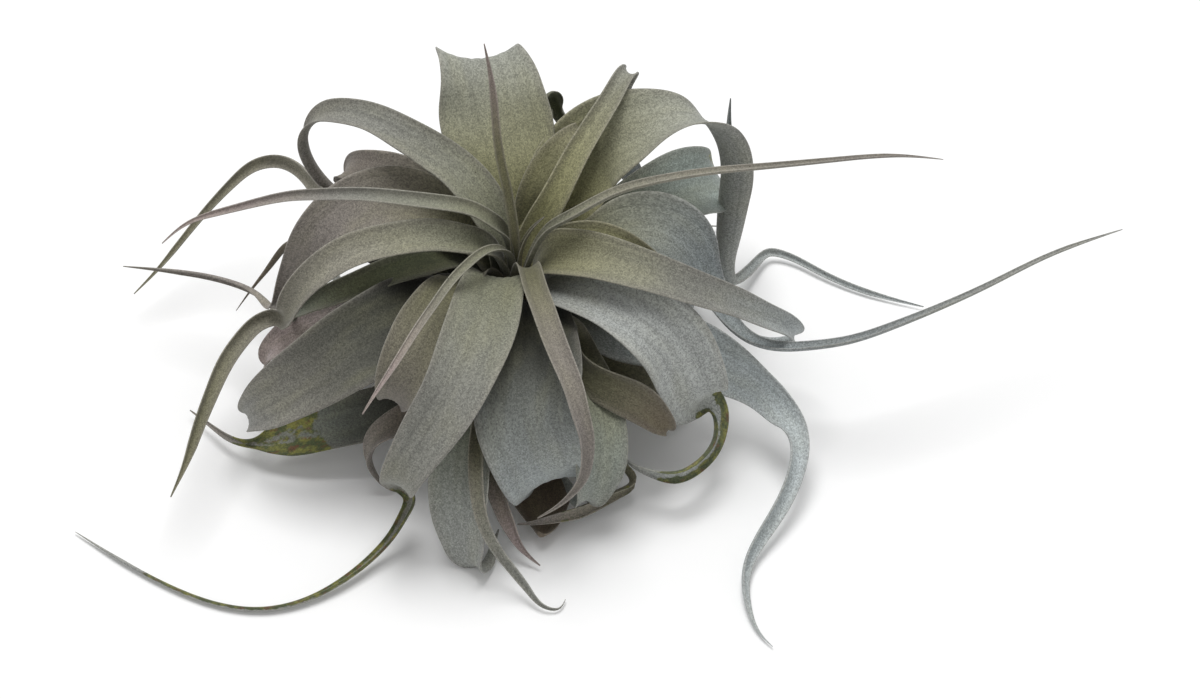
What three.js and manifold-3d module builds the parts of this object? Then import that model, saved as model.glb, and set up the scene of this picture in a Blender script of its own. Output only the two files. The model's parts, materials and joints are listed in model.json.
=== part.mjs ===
// Air plant: a bare rosette of silvery, channelled leaves. They grow in a spiral out of one
// short stem, arch up and out, recurve, and end in long rolled tips. The plant has no pot: it
// stands on the cut end of its stem and on the leaves that reach the surface round it.
// Millimetres, +Z up. The origin is on the surface, under the heart of the rosette.
import * as THREE from "three";
import { mergeVertices } from "three/addons/utils/BufferGeometryUtils.js";
import Module from "manifold-3d";

// ---- Driving dimensions -------------------------------------------------------------------

const HEART_HEIGHT = 72; // height of the heart, where the youngest leaves part
const GAP = 0.3; // clearance left between two pieces that lie on each other

// Stem: [radius, height] of its outline, from the flat cut end up to the growing point.
const STEM_OUTLINE = [
  [9.5, 0],
  [11, 4],
  [11.5, 16],
  [12, 34],
  [10.5, 48],
  [7, 58],
  [3.2, 64],
];
const STEM_SIDES = 16;

// A leaf's blade: how thick it is on its midrib and along its margins, and how far its
// section bends round. A narrow stretch, such as a tip, rolls almost into a tube.
const MIDRIB_THICKNESS = 1.3;
const MARGIN_THICKNESS = 0.7;
const OPEN_BEND = THREE.MathUtils.degToRad(72);
const ROLLED_BEND = THREE.MathUtils.degToRad(165);
const ROLLED_WIDTH = 3;
const OPEN_WIDTH = 15;

// How finely a leaf is laid out, and how finely its faceted blade is cut from that.
const ROUTE_STEPS = 96;
const BLADE_SPANS = 4;
const NARROW_SPANS = 3;
const NARROW_LEAF = 18; // a leaf that is nowhere wider than this gets the fewer spans
const STATION_LENGTH = 24; // one station for each such length of leaf,
const STATION_TURN = 0.6; // and one for each such turn of its route, in radians

// Many routes are given as the leaf is seen from the front and above: from a viewpoint this
// far away, this steep, aimed this far right of and above the heart.
const VIEW_DISTANCE = 1500;
const VIEW_STEEPNESS = THREE.MathUtils.degToRad(45);
const VIEW_AIM = { right: 30.4, up: -33.8 };

// ---- The leaves, youngest first -----------------------------------------------------------

// root: [azimuth in degrees from +X, height on the stem].
// seen: points of the midrib, each [right of the heart, above it, height over the surface,
//   width, roll in degrees], the first two as the viewpoint sees them.
// round: points of the midrib of a leaf at the back, each [reach, azimuth, height, width].
// twisted: the blade follows its rolls alone, and not the bend of its midrib.
const LEAVES = [
  {
    name: "leaf_01_needle",
    colour: "#b5a29c",
    root: [100, 60],
    seen: [[0, 5, 76, 3.4], [-3, 25, 98, 3.2], [-6, 40, 117, 2.8], [-8, 60, 140, 2.2],
      [-11, 75.5, 158, 1.4]],
  },
  {
    name: "leaf_02_heart",
    colour: "#8f9a7c",
    root: [-15, 60],
    seen: [[2.5, 0, 71, 3.2], [5, 7, 80, 2.8], [10.5, 13.5, 93, 1.4]],
  },
  {
    name: "leaf_03_long_right_tip",
    colour: "#98a08a",
    root: [-30, 58],
    seen: [[7, 0, 76, 5], [12, 8, 86, 5], [20, 13, 94, 4.8], [36, 21.5, 104, 4.4],
      [52, 26, 109, 4], [70, 29, 111, 3.6], [85, 30.5, 111, 3.2], [115, 33.5, 107, 2.4],
      [140, 35, 103, 1.8], [153, 34, 100, 1.4]],
  },
  {
    name: "leaf_04_curled_pink",
    colour: "#b09a94",
    root: [175, 58],
    seen: [[-4, 1, 77, 3.6], [-8, 1.5, 82, 3.4], [-12, 0, 85, 3.2], [-17, -4, 86.5, 3.2],
      [-22, -9, 86, 3], [-28, -17, 84.5, 2.8], [-35, -27, 82, 2.6], [-42, -38, 79, 2.2],
      [-50, -50, 75, 1.8], [-54.5, -57, 72, 1.4]],
  },
  {
    name: "leaf_05_long_left_tip",
    colour: "#9aa08c",
    root: [150, 56],
    seen: [[-5, 8, 79, 6.5], [-9, 11.5, 86, 6.5], [-15, 15, 91, 6.3], [-25, 17.5, 95.5, 6],
      [-40, 19.5, 98.5, 5.5], [-55, 21, 99.5, 4.8], [-70, 21, 98, 4.2], [-80, 20.5, 96, 3.6],
      [-95, 17.5, 92, 2.8], [-107, 14.5, 88.5, 2.2], [-117, 11, 85, 1.8], [-126, 4, 79, 1.4]],
  },
  {
    name: "leaf_06_front_strap",
    colour: "#a3a79a",
    root: [-72, 55],
    seen: [[4.5, -5, 75, 8], [7, -12, 80.5, 8.2], [10, -20, 82.5, 8.2], [13.5, -29.5, 82, 8],
      [17, -38.5, 79, 7.6], [20.5, -47.5, 74.5, 7], [23, -56.5, 68, 6.2], [25, -64, 61.5, 5.2],
      [25.5, -71.5, 54, 4.2], [24.5, -78, 47, 3.4], [21.5, -83.5, 41, 2.8],
      [16, -89, 37, 2.2], [8, -94, 35, 1.4]],
  },
  {
    name: "leaf_07_upright_blade",
    colour: "#a4aaa0",
    root: [62, 54],
    seen: [[8.5, 11, 75.5, 10.8], [13.7, 20, 85.5, 9.8], [21.8, 35, 98.5, 8.6],
      [31, 50, 108.5, 7.8], [36.3, 58.8, 113.5, 7.2], [39.3, 63.8, 115.5, 6.6],
      [40.8, 64.6, 113, 5.4], [39.5, 61, 107, 4.2], [37.5, 52, 95, 3.2], [35.5, 42, 83, 2.2],
      [33.5, 32, 69, 1.6]],
  },
  {
    name: "leaf_08_right_strap",
    colour: "#a9aea6",
    root: [-12, 52],
    seen: [[13, 0, 75.5, 17, -49], [20, 0.1, 81, 17.8, -20], [30, -1.3, 85.5, 17.2, -7],
      [40, -4, 86.5, 15.8, 7], [50, -7.2, 84, 14.4, 10], [60, -10.8, 79, 13.4, 12],
      [70, -14.4, 72, 12.2, 11], [80, -18, 63.5, 10.6, 4], [90, -22.5, 53.5, 9, 3],
      [96.5, -25.2, 46, 8], [99.8, -27.6, 38.5, 6.4, -33], [98.6, -29.2, 31.5, 4.4, -17],
      [91, -30, 25.5, 2.8, -8], [84, -28, 23, 1.8, -4]],
  },
  {
    name: "leaf_45_right_green_blade",
    colour: "#86865f",
    root: [5, 49],
    seen: [[13, 2.5, 68, 10, 47], [20, 5.2, 74.5, 12, 4], [29, 5.3, 78, 13, -21],
      [38, 2.4, 78, 12.4, -17], [46, -2.4, 74.5, 10.5, -10], [53, -8, 67, 7.4, -5],
      [56, -12.5, 58, 4.6], [54, -15.5, 50.5, 2.8], [49, -16.5, 46, 1.6]],
  },
  {
    name: "leaf_09_left_strap",
    colour: "#a5a79d",
    root: [170, 52],
    seen: [[-10, 2.5, 76, 10.4, 16], [-18, 4.8, 83, 11.2, 8], [-29, 6.4, 87.5, 12, 18],
      [-40, 5.7, 88.5, 12, 20], [-50, 3.8, 87, 12.2, 26], [-60, 0.5, 84, 12, 30],
      [-69, -5, 78, 11.2, 29], [-75.6, -11, 70, 10, 32], [-79.6, -17, 61, 8.8, 43],
      [-81, -21.4, 53, 7.8, 21], [-82.2, -22.6, 47, 6.8, 11], [-85.6, -21.6, 43, 6, 5],
      [-90.5, -23.4, 41.5, 5.8, -24], [-97, -29.4, 40, 5.8, -31], [-103.5, -38.6, 38.5, 5.8, -32],
      [-109.3, -50.5, 37, 5, -16], [-114, -62.5, 34.5, 4.2, -8], [-118.2, -75, 31.5, 2.8],
      [-123, -86.5, 29.5, 1.4]],
  },
  {
    name: "leaf_10_front_left_blade",
    colour: "#adb1a8",
    root: [250, 50],
    seen: [[-6, -9, 73, 21], [-9.5, -17, 76.5, 24], [-13.5, -28, 77.5, 25.3],
      [-18.5, -40, 75, 24], [-24.3, -52.3, 69, 22], [-30.3, -62.6, 60.5, 19.8, -15],
      [-36, -71.8, 51, 16.8, -10], [-40.2, -79, 42, 14, -4], [-41.5, -81.7, 34.5, 13.2],
      [-41, -81.6, 27.5, 10.8], [-38.2, -83, 22, 6.6], [-36.4, -86.8, 18, 4.6],
      [-38.5, -93, 13, 4.1], [-42.7, -100, 8.5, 3.9], [-49, -107.3, 5, 3.8],
      [-57.5, -114.5, 3.4, 3.7], [-69, -121.5, 2.2, 3.3], [-80, -125.5, 1.8, 3],
      [-90, -127, 1.6, 2.8], [-123, -119, 1.4, 2.1], [-157, -99, 1.2, 1.4]],
  },
  {
    name: "leaf_11_front_right_blade",
    colour: "#9c9a90",
    root: [-38, 47],
    twisted: true,
    seen: [[13, -12, 66, 15, -12], [22, -13.6, 71.5, 18.5, -16], [35, -17.6, 73.5, 23, -19],
      [47.5, -24.6, 69.5, 27, -24], [56.3, -33.2, 59.5, 28, -35], [61.2, -42.5, 48.5, 26.3, -44],
      [63.9, -49.6, 39.5, 25.6, -52], [65.2, -52, 33.5, 20, -46], [67.8, -51.6, 29, 11, -20],
      [70.7, -54.4, 25.5, 7.6, 10], [72, -60.5, 22.5, 7.6, 49], [70.4, -67.7, 20, 7.2, 64],
      [65, -74.2, 18.5, 6.8, 69], [57.5, -78, 18, 6.2, 70], [49, -77.2, 18.5, 5, 68],
      [42, -74.6, 20, 3.4, 67], [37, -70.5, 21.5, 1.6, 64]],
  },
  {
    name: "leaf_12_top_back_blade",
    colour: "#9aa3a0",
    root: [98, 46],
    seen: [[-2, 13, 69, 20], [-3, 27, 82, 31, 26], [-5.2, 41, 93.5, 39.5, 34],
      [-8.2, 53, 103, 40, 18], [-11, 63.5, 110.5, 36], [-13.4, 69.4, 112.3, 30.5, -18],
      [-13.8, 67, 106, 26.5, -22], [-12, 57, 92, 18, -10], [-8.5, 44, 74, 12], [-6, 33, 57, 8],
      [-4, 23, 40, 5.5], [-1.5, 16.5, 26, 4], [1, 14, 15, 2.8], [3, 15.5, 8, 1.6]],
  },
  {
    name: "leaf_13_upper_left_strap",
    colour: "#9da09a",
    root: [135, 46],
    seen: [[-8, 10.5, 76, 16.5, 5], [-14, 21.5, 86, 17.5, 21], [-22, 30.5, 93, 16, 30],
      [-31, 37.3, 98.5, 14.4, 19], [-41, 43.3, 104, 12.8, 15], [-51, 48.2, 107, 11.2, 18],
      [-62, 50.5, 106.5, 9.8, 18], [-70, 49, 101, 8.8, 18], [-74, 43.5, 92.5, 7.2, -7],
      [-73.5, 36.5, 82, 6, -9], [-70, 30, 72, 5.6, -5], [-65, 24.5, 63, 4.8], [-58, 19, 54, 2.8],
      [-50, 14.5, 46, 1.4]],
  },
  {
    name: "leaf_14_big_arc",
    colour: "#9da49c",
    root: [42, 44],
    twisted: true,
    seen: [[12.5, 11, 68, 26, -9], [18.5, 23, 80, 31, -12], [26.8, 35.5, 91, 33, -13],
      [37, 42.6, 100.5, 31.5], [46.1, 46.1, 105.5, 27, 11], [54.3, 48.6, 108.5, 22, 27],
      [61.3, 49.2, 108.5, 17, 43], [68, 47.4, 104.5, 13.5, 66], [73, 43.9, 97.5, 12.4, 88],
      [77.3, 37.5, 87.5, 12.6, 95], [78.7, 29.5, 77, 12.6, 94], [77.8, 20, 62, 11.8, 95],
      [76.3, 10, 45.5, 10.4, 97], [75, 2, 32, 8.4, 93], [74.8, -6, 18.5, 6.2, 88],
      [77, -10.3, 10, 4.6, 84], [81.5, -8, 6.5, 3.8, 63], [86, -2.6, 5, 3.2, 40],
      [91, 1, 4.2, 2.8, 10], [97, 0, 3.6, 2.5, 7], [108, -5.3, 3, 2.2, 10],
      [123, -12, 2.4, 1.9, 7], [146, -18.5, 1.8, 1.6, 6]],
  },
  {
    name: "leaf_15_left_blade",
    colour: "#9c9b8c",
    root: [155, 44],
    seen: [[-13, 4.5, 69, 16, 22], [-25, 13.5, 76.5, 20.5, 57], [-38, 19, 81, 23.5, 85],
      [-50, 18.3, 82, 24.5, 63], [-60, 13.8, 79.5, 24, 40], [-68.3, 6.7, 73.5, 21, 20],
      [-74.3, -1, 64.5, 16.5, 3], [-78.8, -8.5, 54, 11.5, -22], [-82.3, -14.7, 46, 7.6, -11],
      [-85.2, -18.2, 40.5, 5.4, -5], [-88.7, -16, 38, 4.4], [-94, -12, 36, 3.8],
      [-108, -7.5, 35, 2.9], [-127, -5, 33.5, 2], [-140, -4, 32.5, 1.4]],
  },
  {
    name: "leaf_16_right_blade",
    colour: "#a3adb0",
    root: [20, 44],
    twisted: true,
    seen: [[18, 0.8, 65, 14, -7], [30, 3.8, 73, 20, -17], [42, 8, 77.5, 27.5, -27],
      [52.5, 7.4, 76.5, 29, -33], [60.3, 2.5, 70.5, 26, -42], [65.5, -5.5, 61, 16.5, -42],
      [70, -13.5, 53, 11.5, -32], [75, -22.8, 46.5, 7.6, -17], [82.5, -30.2, 42.5, 5.8, -12],
      [92, -33.6, 41, 5.2, -9], [105, -33.6, 42.5, 4.8, -11], [120, -31.3, 45.5, 4.3, -11],
      [135, -26.3, 48, 3.8, -10], [150, -20.2, 50, 3.3, -10], [170, -11, 52, 2.7, -8],
      [190, -1, 53, 2.1, -10], [217, 9, 54, 1.5, -12]],
  },
  {
    name: "leaf_17_front_blade",
    colour: "#a7aba3",
    root: [-82, 42],
    seen: [[5.5, -17, 60.5, 22], [6, -30, 64, 31], [5.5, -45, 62.5, 37.5],
      [5.6, -58, 56, 38.5, 9], [7.8, -69, 45.5, 35, 9], [10, -76.6, 34.5, 31, 4],
      [11.2, -80.2, 25.5, 28, 9], [11.4, -79.4, 18, 22.5, 5], [10.5, -75, 12, 14], [6, -69, 9, 8],
      [0, -63, 8, 4], [-5, -57, 8, 1.6]],
  },
  {
    name: "leaf_18_left_low_blade",
    colour: "#a3a7a0",
    root: [200, 38],
    seen: [[-17, -13, 57, 19], [-30, -17, 62, 26], [-45, -25.8, 62.5, 30, -1],
      [-60, -34.8, 58.5, 29.4], [-71, -42, 52, 26, -4], [-81, -48.3, 44.5, 22.4, -4],
      [-88.5, -53, 37, 18.8], [-94, -56.6, 28.5, 12.6], [-94.5, -58.5, 21, 7.5],
      [-89.5, -58, 16, 5], [-80, -54, 12.5, 3.2], [-72, -49, 11, 1.6]],
  },
  {
    name: "leaf_19_behind_front_left",
    colour: "#9c9f94",
    root: [222, 43],
    seen: [[-16, -8.5, 66, 17], [-23.5, -16, 71, 21.5], [-31, -26.5, 70.5, 22.5],
      [-37.3, -37.5, 65, 20.5], [-41.3, -46, 56, 17], [-43, -50.8, 46.5, 12],
      [-43, -51.3, 37.5, 8], [-40, -48, 30.5, 5.2], [-34, -42, 26, 3], [-27, -35, 24, 1.6]],
  },
  {
    name: "leaf_20_left_strip",
    colour: "#9fa9ad",
    root: [182, 41],
    seen: [[-18, -4, 64, 11], [-33, -3.4, 69.5, 12, 27], [-47, -7.6, 70.5, 10.6, 2],
      [-60, -12.8, 67.5, 9, -12], [-69.5, -16.4, 61, 7.6, -8], [-75.5, -19, 54, 6.2, -4],
      [-78.3, -20.8, 47, 4.6], [-75.5, -22.3, 41, 3.4], [-67, -22, 35.5, 2.6],
      [-60, -21.5, 31, 1.6]],
  },
  {
    name: "leaf_21_behind_left_low",
    colour: "#98968b",
    root: [188, 33],
    seen: [[-20, -19, 46, 16], [-36, -20, 51, 21], [-54, -22.5, 50.5, 23.5],
      [-69, -26.3, 45.5, 22.5], [-80.5, -30.5, 38.5, 18.5], [-87.3, -35.2, 31, 12.5],
      [-88, -39.5, 24, 7], [-82, -41, 18, 4], [-74, -41, 15, 1.8]],
  },
  {
    name: "leaf_22_front_right_low",
    colour: "#8d8c82",
    root: [-62, 36],
    seen: [[13, -23, 49, 16], [20, -38, 50, 20], [26.5, -52, 46.5, 22], [29.3, -64, 40, 21.5],
      [29.6, -75, 32, 20], [28.2, -83, 23.5, 15], [26.2, -87.3, 17, 9.5], [23, -86, 12.5, 6],
      [18.5, -80, 10.5, 3.6], [14, -73, 10, 1.8]],
  },
  {
    name: "leaf_23_brown_fold",
    colour: "#6f5f4d",
    root: [-50, 40],
    seen: [[14, -24, 50, 10], [22, -38.5, 52, 11], [32, -46.5, 51.5, 13.5, -13],
      [41.5, -51, 47.5, 15, -32], [49, -56.3, 40, 12.5, -38], [53.4, -60.6, 33.5, 8, -33],
      [54.6, -62.6, 28.5, 3.6, -17], [51, -61.4, 25, 2.2, -8], [46, -58.6, 24, 1.4, -4]],
  },
  {
    name: "leaf_24_behind_left_tip",
    colour: "#8f8a80",
    root: [142, 39],
    seen: [[-15, -2, 58, 12], [-28, 6, 65, 14], [-41, 11.5, 69, 14], [-53, 14, 69.5, 12],
      [-62, 17, 67, 8.6], [-68, 21.5, 62.5, 6.4], [-72.5, 27, 59.5, 5.8], [-78, 32, 57.5, 5.4],
      [-85, 34, 55.5, 4.8], [-92.5, 32, 52.5, 4.1], [-100, 26, 46, 3.4], [-112, 13, 34, 2.6],
      [-127, -5, 20, 1.9], [-136, -14, 13, 1.5]],
  },
  {
    name: "leaf_25_behind_arc",
    colour: "#93a0a4",
    root: [30, 37],
    seen: [[19, -5, 54, 16, -15], [31, 5, 63, 22, 11], [42, 13.5, 68.5, 25, 11],
      [52, 19.5, 69.5, 26.5, 8], [61, 24, 67, 28, -16], [68.5, 26, 61, 25, -46],
      [74, 25, 52, 17.5, -23], [77.5, 22.3, 43, 11, -11], [78.5, 20, 36, 7, -6],
      [78, 21.5, 32, 5], [77, 27, 33, 4], [76.5, 35, 42, 3.2], [76.3, 45.5, 55, 2.3],
      [77, 56, 71, 1.5]],
  },
  {
    name: "leaf_26_back_green",
    colour: "#7c7c5f",
    root: [66, 43],
    seen: [[5.5, 13, 69, 12], [9, 23.5, 82, 14], [13.7, 32, 91, 14.5], [19, 38.6, 97, 12.5],
      [24, 42.5, 98, 9.4], [27, 42.3, 94.5, 7], [28, 38.6, 86, 5.4], [27, 33, 77, 3.8],
      [25.5, 27.5, 69, 1.8]],
  },
  {
    name: "leaf_46_behind_left_fold",
    colour: "#8d8a80",
    root: [128, 37],
    seen: [[-13, 4, 58, 13], [-23, 15, 68, 16, 40], [-34, 23.7, 76, 17, 26],
      [-44.5, 28.5, 79.5, 16, 5], [-53, 30.5, 78, 13.5], [-58.5, 31, 72.5, 11],
      [-60.6, 29.3, 64.5, 8.4], [-60.5, 26, 56, 6], [-58, 22, 48, 3.8], [-54, 17.5, 42, 1.8]],
  },
  {
    name: "leaf_47_back_dark_fold",
    colour: "#5f6a55",
    root: [76, 38],
    seen: [[3, 10, 57, 13], [5.5, 24, 70, 12], [7.6, 38, 82, 10, -48], [9.4, 49, 90, 9, -76],
      [10.9, 56, 93, 8.5, -104], [13.4, 57.2, 91, 8, -167], [15.6, 53.5, 84, 7, -206],
      [16.8, 47, 74, 5, -103], [17.2, 40, 63, 2.6, -51]],
  },
  {
    name: "leaf_27_back_left_tip",
    colour: "#8b887c",
    root: [160, 34],
    seen: [[-19, -12, 48, 12], [-36, -4, 55, 14.5], [-52, 3, 57.5, 14], [-65, 6.5, 54, 11],
      [-75, 5.5, 46, 7.4], [-82, 1.5, 36.5, 4.4], [-87, -4.5, 28.5, 3.2], [-93, -11.5, 21, 2.4],
      [-99.5, -20, 13, 1.5]],
  },
  {
    name: "leaf_28_right_low",
    colour: "#999b92",
    root: [-14, 31],
    seen: [[20, -23, 44, 16], [36, -27, 46, 21], [53, -31, 44, 23.5], [67, -36, 38, 23],
      [79, -41.5, 31, 20], [88.5, -48, 25.5, 15.5], [95.5, -56, 21, 11.4], [100, -66, 17.5, 8.6],
      [98.8, -78, 13.5, 7.6], [93, -91, 9.5, 6.6], [86.5, -101.5, 6.5, 5.4], [82.5, -110, 4.4, 4.4],
      [81.5, -119, 3, 3.6], [83.5, -128, 2.2, 2.8], [87.5, -135.5, 1.6, 2.2], [92, -140, 1.2, 1.6]],
  },
  {
    name: "leaf_29_front_foot",
    colour: "#979a90",
    root: [-100, 30],
    seen: [[-6, -33, 40, 15], [-12, -50, 42, 18.5], [-17, -66, 39.5, 22],
      [-18.6, -80, 32.5, 23.5], [-18.2, -93, 22.5, 22.8], [-16.8, -103.5, 12.5, 20.5],
      [-14.7, -110.3, 4.8, 15.5], [-11.5, -110, 2.6, 9], [-8.5, -104, 3.4, 5],
      [-6, -98, 5.5, 2.4]],
  },
  {
    name: "leaf_30_front_tail",
    colour: "#9b9488",
    root: [-97, 36],
    seen: [[-4, -30, 46, 10], [-8, -46, 47, 9], [-11, -60, 45.5, 7.4], [-13.1, -71, 42.5, 5.6],
      [-13.1, -83, 37, 4.9], [-11.3, -93.5, 29, 4.5], [-7.3, -102.5, 20.5, 4.1],
      [-1.6, -110.5, 12.5, 3.5], [5.2, -119.3, 6, 3], [11, -125.5, 2.6, 2.4],
      [15.2, -126.3, 1.6, 1.9], [18, -123, 1.4, 1.5]],
  },
  {
    name: "leaf_31_pink_strap",
    colour: "#a88f86",
    root: [-88, 26],
    seen: [[-1, -38, 36, 10], [-4, -54, 37, 9], [-7.5, -68, 34, 7.6], [-7.5, -79, 28.5, 6.6],
      [-5, -89, 21.5, 5.6], [-1.5, -98, 13.5, 4.6], [2.5, -105, 6.5, 3.4], [9, -111, 2.6, 1.5]],
  },
  {
    name: "leaf_32_curl_under_front",
    colour: "#7d7563",
    root: [-55, 20],
    seen: [[14, -46, 26, 12], [25, -60, 22, 12], [34, -70, 16, 9], [39.4, -77.5, 10.5, 6],
      [41.2, -80.8, 8.8, 5], [37.5, -83.8, 8.2, 4.7], [31, -87.2, 8, 4.6], [23, -91, 8.4, 4.6],
      [13, -94, 8.6, 4.4], [6, -95.6, 8.6, 3.4], [0.8, -96.2, 8, 1.7]],
  },
  {
    name: "leaf_48_brown_under_front",
    colour: "#6f6350",
    root: [-78, 13],
    seen: [[2.5, -52.5, 8, 10], [4.5, -61, 5.4, 14, -2], [6.5, -70, 3.8, 18, -1],
      [8.5, -80, 3, 20.5, 4], [9.8, -90, 3, 21, 14], [10.2, -96.5, 3.4, 18, 20],
      [10, -100, 5, 12, 30], [9.2, -100.6, 7.4, 6, 15], [8, -99, 9, 1.8, 7]],
  },
  {
    name: "leaf_33_mossy_left",
    colour: "#7f7c4a",
    root: [222, 16],
    seen: [[-16, -42, 21, 14], [-30, -50, 20.5, 17, 28], [-46, -56.3, 18.5, 19.5],
      [-62, -60, 16, 18.5, 2], [-76, -63.6, 13, 17, 2], [-83, -65.6, 10.8, 14.5],
      [-87.4, -66.8, 9.5, 9.5, -2], [-90.2, -67.3, 8.6, 3.4, -3], [-95, -67.5, 7.5, 2.4],
      [-101, -66, 6, 2], [-108, -61.5, 5, 1.8], [-116, -55.5, 4, 1.4]],
  },
  {
    name: "leaf_34_brown_left",
    colour: "#6d5a45",
    root: [236, 24],
    seen: [[-14, -41, 31, 12], [-27, -52, 31, 13.5], [-40, -60, 28, 12],
      [-49.5, -66.5, 22.5, 9.4], [-51.3, -72, 16, 7.6], [-49, -78.5, 8.5, 6.4],
      [-45.5, -82.5, 4, 4], [-41, -82, 2.6, 1.8]],
  },
  {
    name: "leaf_35_back_upper_right",
    colour: "#95a0a0",
    root: [58, 32],
    round: [[20, 60, 46, 16], [38, 61, 60, 24], [57, 62, 64, 26], [73, 62, 57, 20],
      [83, 61, 43, 13], [89, 60, 29, 8], [95, 58, 16, 5], [105, 54, 6.5, 3], [118, 49, 2, 1.5]],
  },
  {
    name: "leaf_36_back_upper_left",
    colour: "#98a09c",
    root: [112, 31],
    round: [[20, 112, 44, 16], [38, 112, 58, 24], [57, 112, 62, 27], [73, 113, 55, 22],
      [83, 114, 41, 14], [89, 116, 27, 8.5], [95, 120, 14, 5], [103, 127, 6, 3],
      [112, 135, 2, 1.6]],
  },
  {
    name: "leaf_37_back_low_right",
    colour: "#8f958c",
    root: [14, 26],
    round: [[20, 15, 36, 14], [36, 17, 43, 21], [52, 20, 41, 23], [65, 24, 31, 18],
      [73.5, 30, 18, 11.5], [78.5, 38, 8.5, 7], [85, 48, 3.2, 4.4], [96, 58, 1.6, 1.6]],
  },
  {
    name: "leaf_38_back_low_right",
    colour: "#929a94",
    root: [45, 17],
    round: [[20, 45, 25, 14], [38, 46, 33, 23], [56, 47, 32, 25], [71, 48, 24, 19],
      [81, 51, 13.5, 12], [88, 55, 6.5, 7], [98, 61, 2.6, 4.2], [112, 67, 1.6, 1.6]],
  },
  {
    name: "leaf_39_back_low",
    colour: "#8d9189",
    root: [78, 24],
    round: [[20, 78, 33, 14], [38, 77, 42, 23], [58, 76, 41, 26], [75, 76, 31, 20],
      [86.5, 77, 18, 12], [94, 79, 8, 7], [105, 82, 3, 4.2], [121, 86, 1.6, 1.6]],
  },
  {
    name: "leaf_40_back_low",
    colour: "#8a8c80",
    root: [104, 14],
    round: [[20, 103, 22, 14], [38, 102, 30, 23], [57, 102, 30, 25], [73, 102, 23, 19],
      [84, 103, 13, 11.5], [91, 105, 6, 6.6], [101, 109, 2.6, 4], [115, 113, 1.6, 1.6]],
  },
  {
    name: "leaf_41_back_low_left",
    colour: "#8e9287",
    root: [130, 23],
    round: [[20, 130, 32, 14], [38, 130, 41, 23], [56, 130, 40, 25], [71, 129, 30, 19],
      [81, 127, 17, 11.5], [88, 124, 8, 6.8], [97, 120, 3, 4], [110, 118, 1.6, 1.6]],
  },
  {
    name: "leaf_42_back_low_left",
    colour: "#8b8e86",
    root: [152, 13],
    round: [[20, 152, 21, 13], [36, 152, 28, 21], [52, 151, 27, 23], [66, 150, 20, 18],
      [75.5, 148, 11.5, 11.5], [82, 144, 5.6, 6.8], [91, 139, 2.6, 4], [104, 135, 1.6, 1.6]],
  },
  {
    name: "leaf_43_left_foot",
    colour: "#8f8f83",
    root: [178, 20],
    round: [[20, 177, 29, 14], [35, 175, 35, 20], [50, 173, 33, 21], [62.5, 170, 24, 16],
      [71, 166, 13.5, 10.5], [77, 161, 6, 6.4], [85, 156, 2.8, 4], [98, 151, 1.6, 1.6]],
  },
  {
    name: "leaf_44_right_foot",
    colour: "#8a8a7e",
    root: [-30, 14],
    round: [[20, -29, 22, 13], [34, -27, 26, 17], [46, -24, 24, 17], [55, -20, 17, 12.5],
      [60, -14, 10, 8], [64, -6, 5.5, 5], [70, 2, 3, 3], [78, 8, 1.6, 1.6]],
  },
];

// ---- A leaf's route -----------------------------------------------------------------------

const UP = new THREE.Vector3(0, 0, 1);

const polar = (reach, azimuth, height) => {
  const angle = THREE.MathUtils.degToRad(azimuth);
  return new THREE.Vector3(reach * Math.cos(angle), reach * Math.sin(angle), height);
};

// The point at a height over the surface that the viewpoint sees right of and above the heart.
function seenPoint(right, up, height) {
  const heart = new THREE.Vector3(0, 0, HEART_HEIGHT);
  const viewUp = new THREE.Vector3(0, Math.sin(VIEW_STEEPNESS), Math.cos(VIEW_STEEPNESS));
  const viewBack = new THREE.Vector3(0, -Math.cos(VIEW_STEEPNESS), Math.sin(VIEW_STEEPNESS));
  const onPlane = (r, u) => heart.clone().addScaledVector(viewUp, u).setX(r);
  const eye = onPlane(VIEW_AIM.right, VIEW_AIM.up).addScaledVector(viewBack, VIEW_DISTANCE);
  const sight = onPlane(right, up).sub(eye);
  return eye.addScaledVector(sight, (height - eye.z) / sight.z);
}

// A leaf's control points: two on the stem, at its root, and then those that its row gives.
function controlPoints(leaf) {
  const [azimuth, rootHeight] = leaf.root;
  const rows = leaf.seen ?? leaf.round;
  const place = leaf.seen ? seenPoint : polar;
  const rootWidth = rows[0][3];
  return [
    { at: polar(3, azimuth, rootHeight - 3), width: rootWidth, roll: 0 },
    ...rows.map(([a, b, height, width, roll = 0]) => ({ at: place(a, b, height), width, roll })),
  ];
}

// Second derivatives of the natural cubic spline through values at knots.
function splineBends(knots, values) {
  const last = knots.length - 1;
  const bends = new Array(last + 1).fill(0);
  const carry = new Array(last + 1).fill(0);
  for (let i = 1; i < last; i++) {
    const before = knots[i] - knots[i - 1];
    const after = knots[i + 1] - knots[i];
    const share = before / (before + after);
    const pivot = share * bends[i - 1] + 2;
    bends[i] = (share - 1) / pivot;
    const slopes = (values[i + 1] - values[i]) / after - (values[i] - values[i - 1]) / before;
    carry[i] = ((6 * slopes) / (before + after) - share * carry[i - 1]) / pivot;
  }
  for (let i = last - 1; i > 0; i--) bends[i] = bends[i] * bends[i + 1] + carry[i];
  bends[0] = 0;
  return bends;
}

function splineAt(knots, values, bends, where) {
  let i = 1;
  while (i < knots.length - 1 && knots[i] < where) i++;
  const span = knots[i] - knots[i - 1];
  const a = (knots[i] - where) / span;
  const b = 1 - a;
  const sag = ((a ** 3 - a) * bends[i - 1] + (b ** 3 - b) * bends[i]) * (span ** 2 / 6);
  return a * values[i - 1] + b * values[i] + sag;
}

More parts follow.
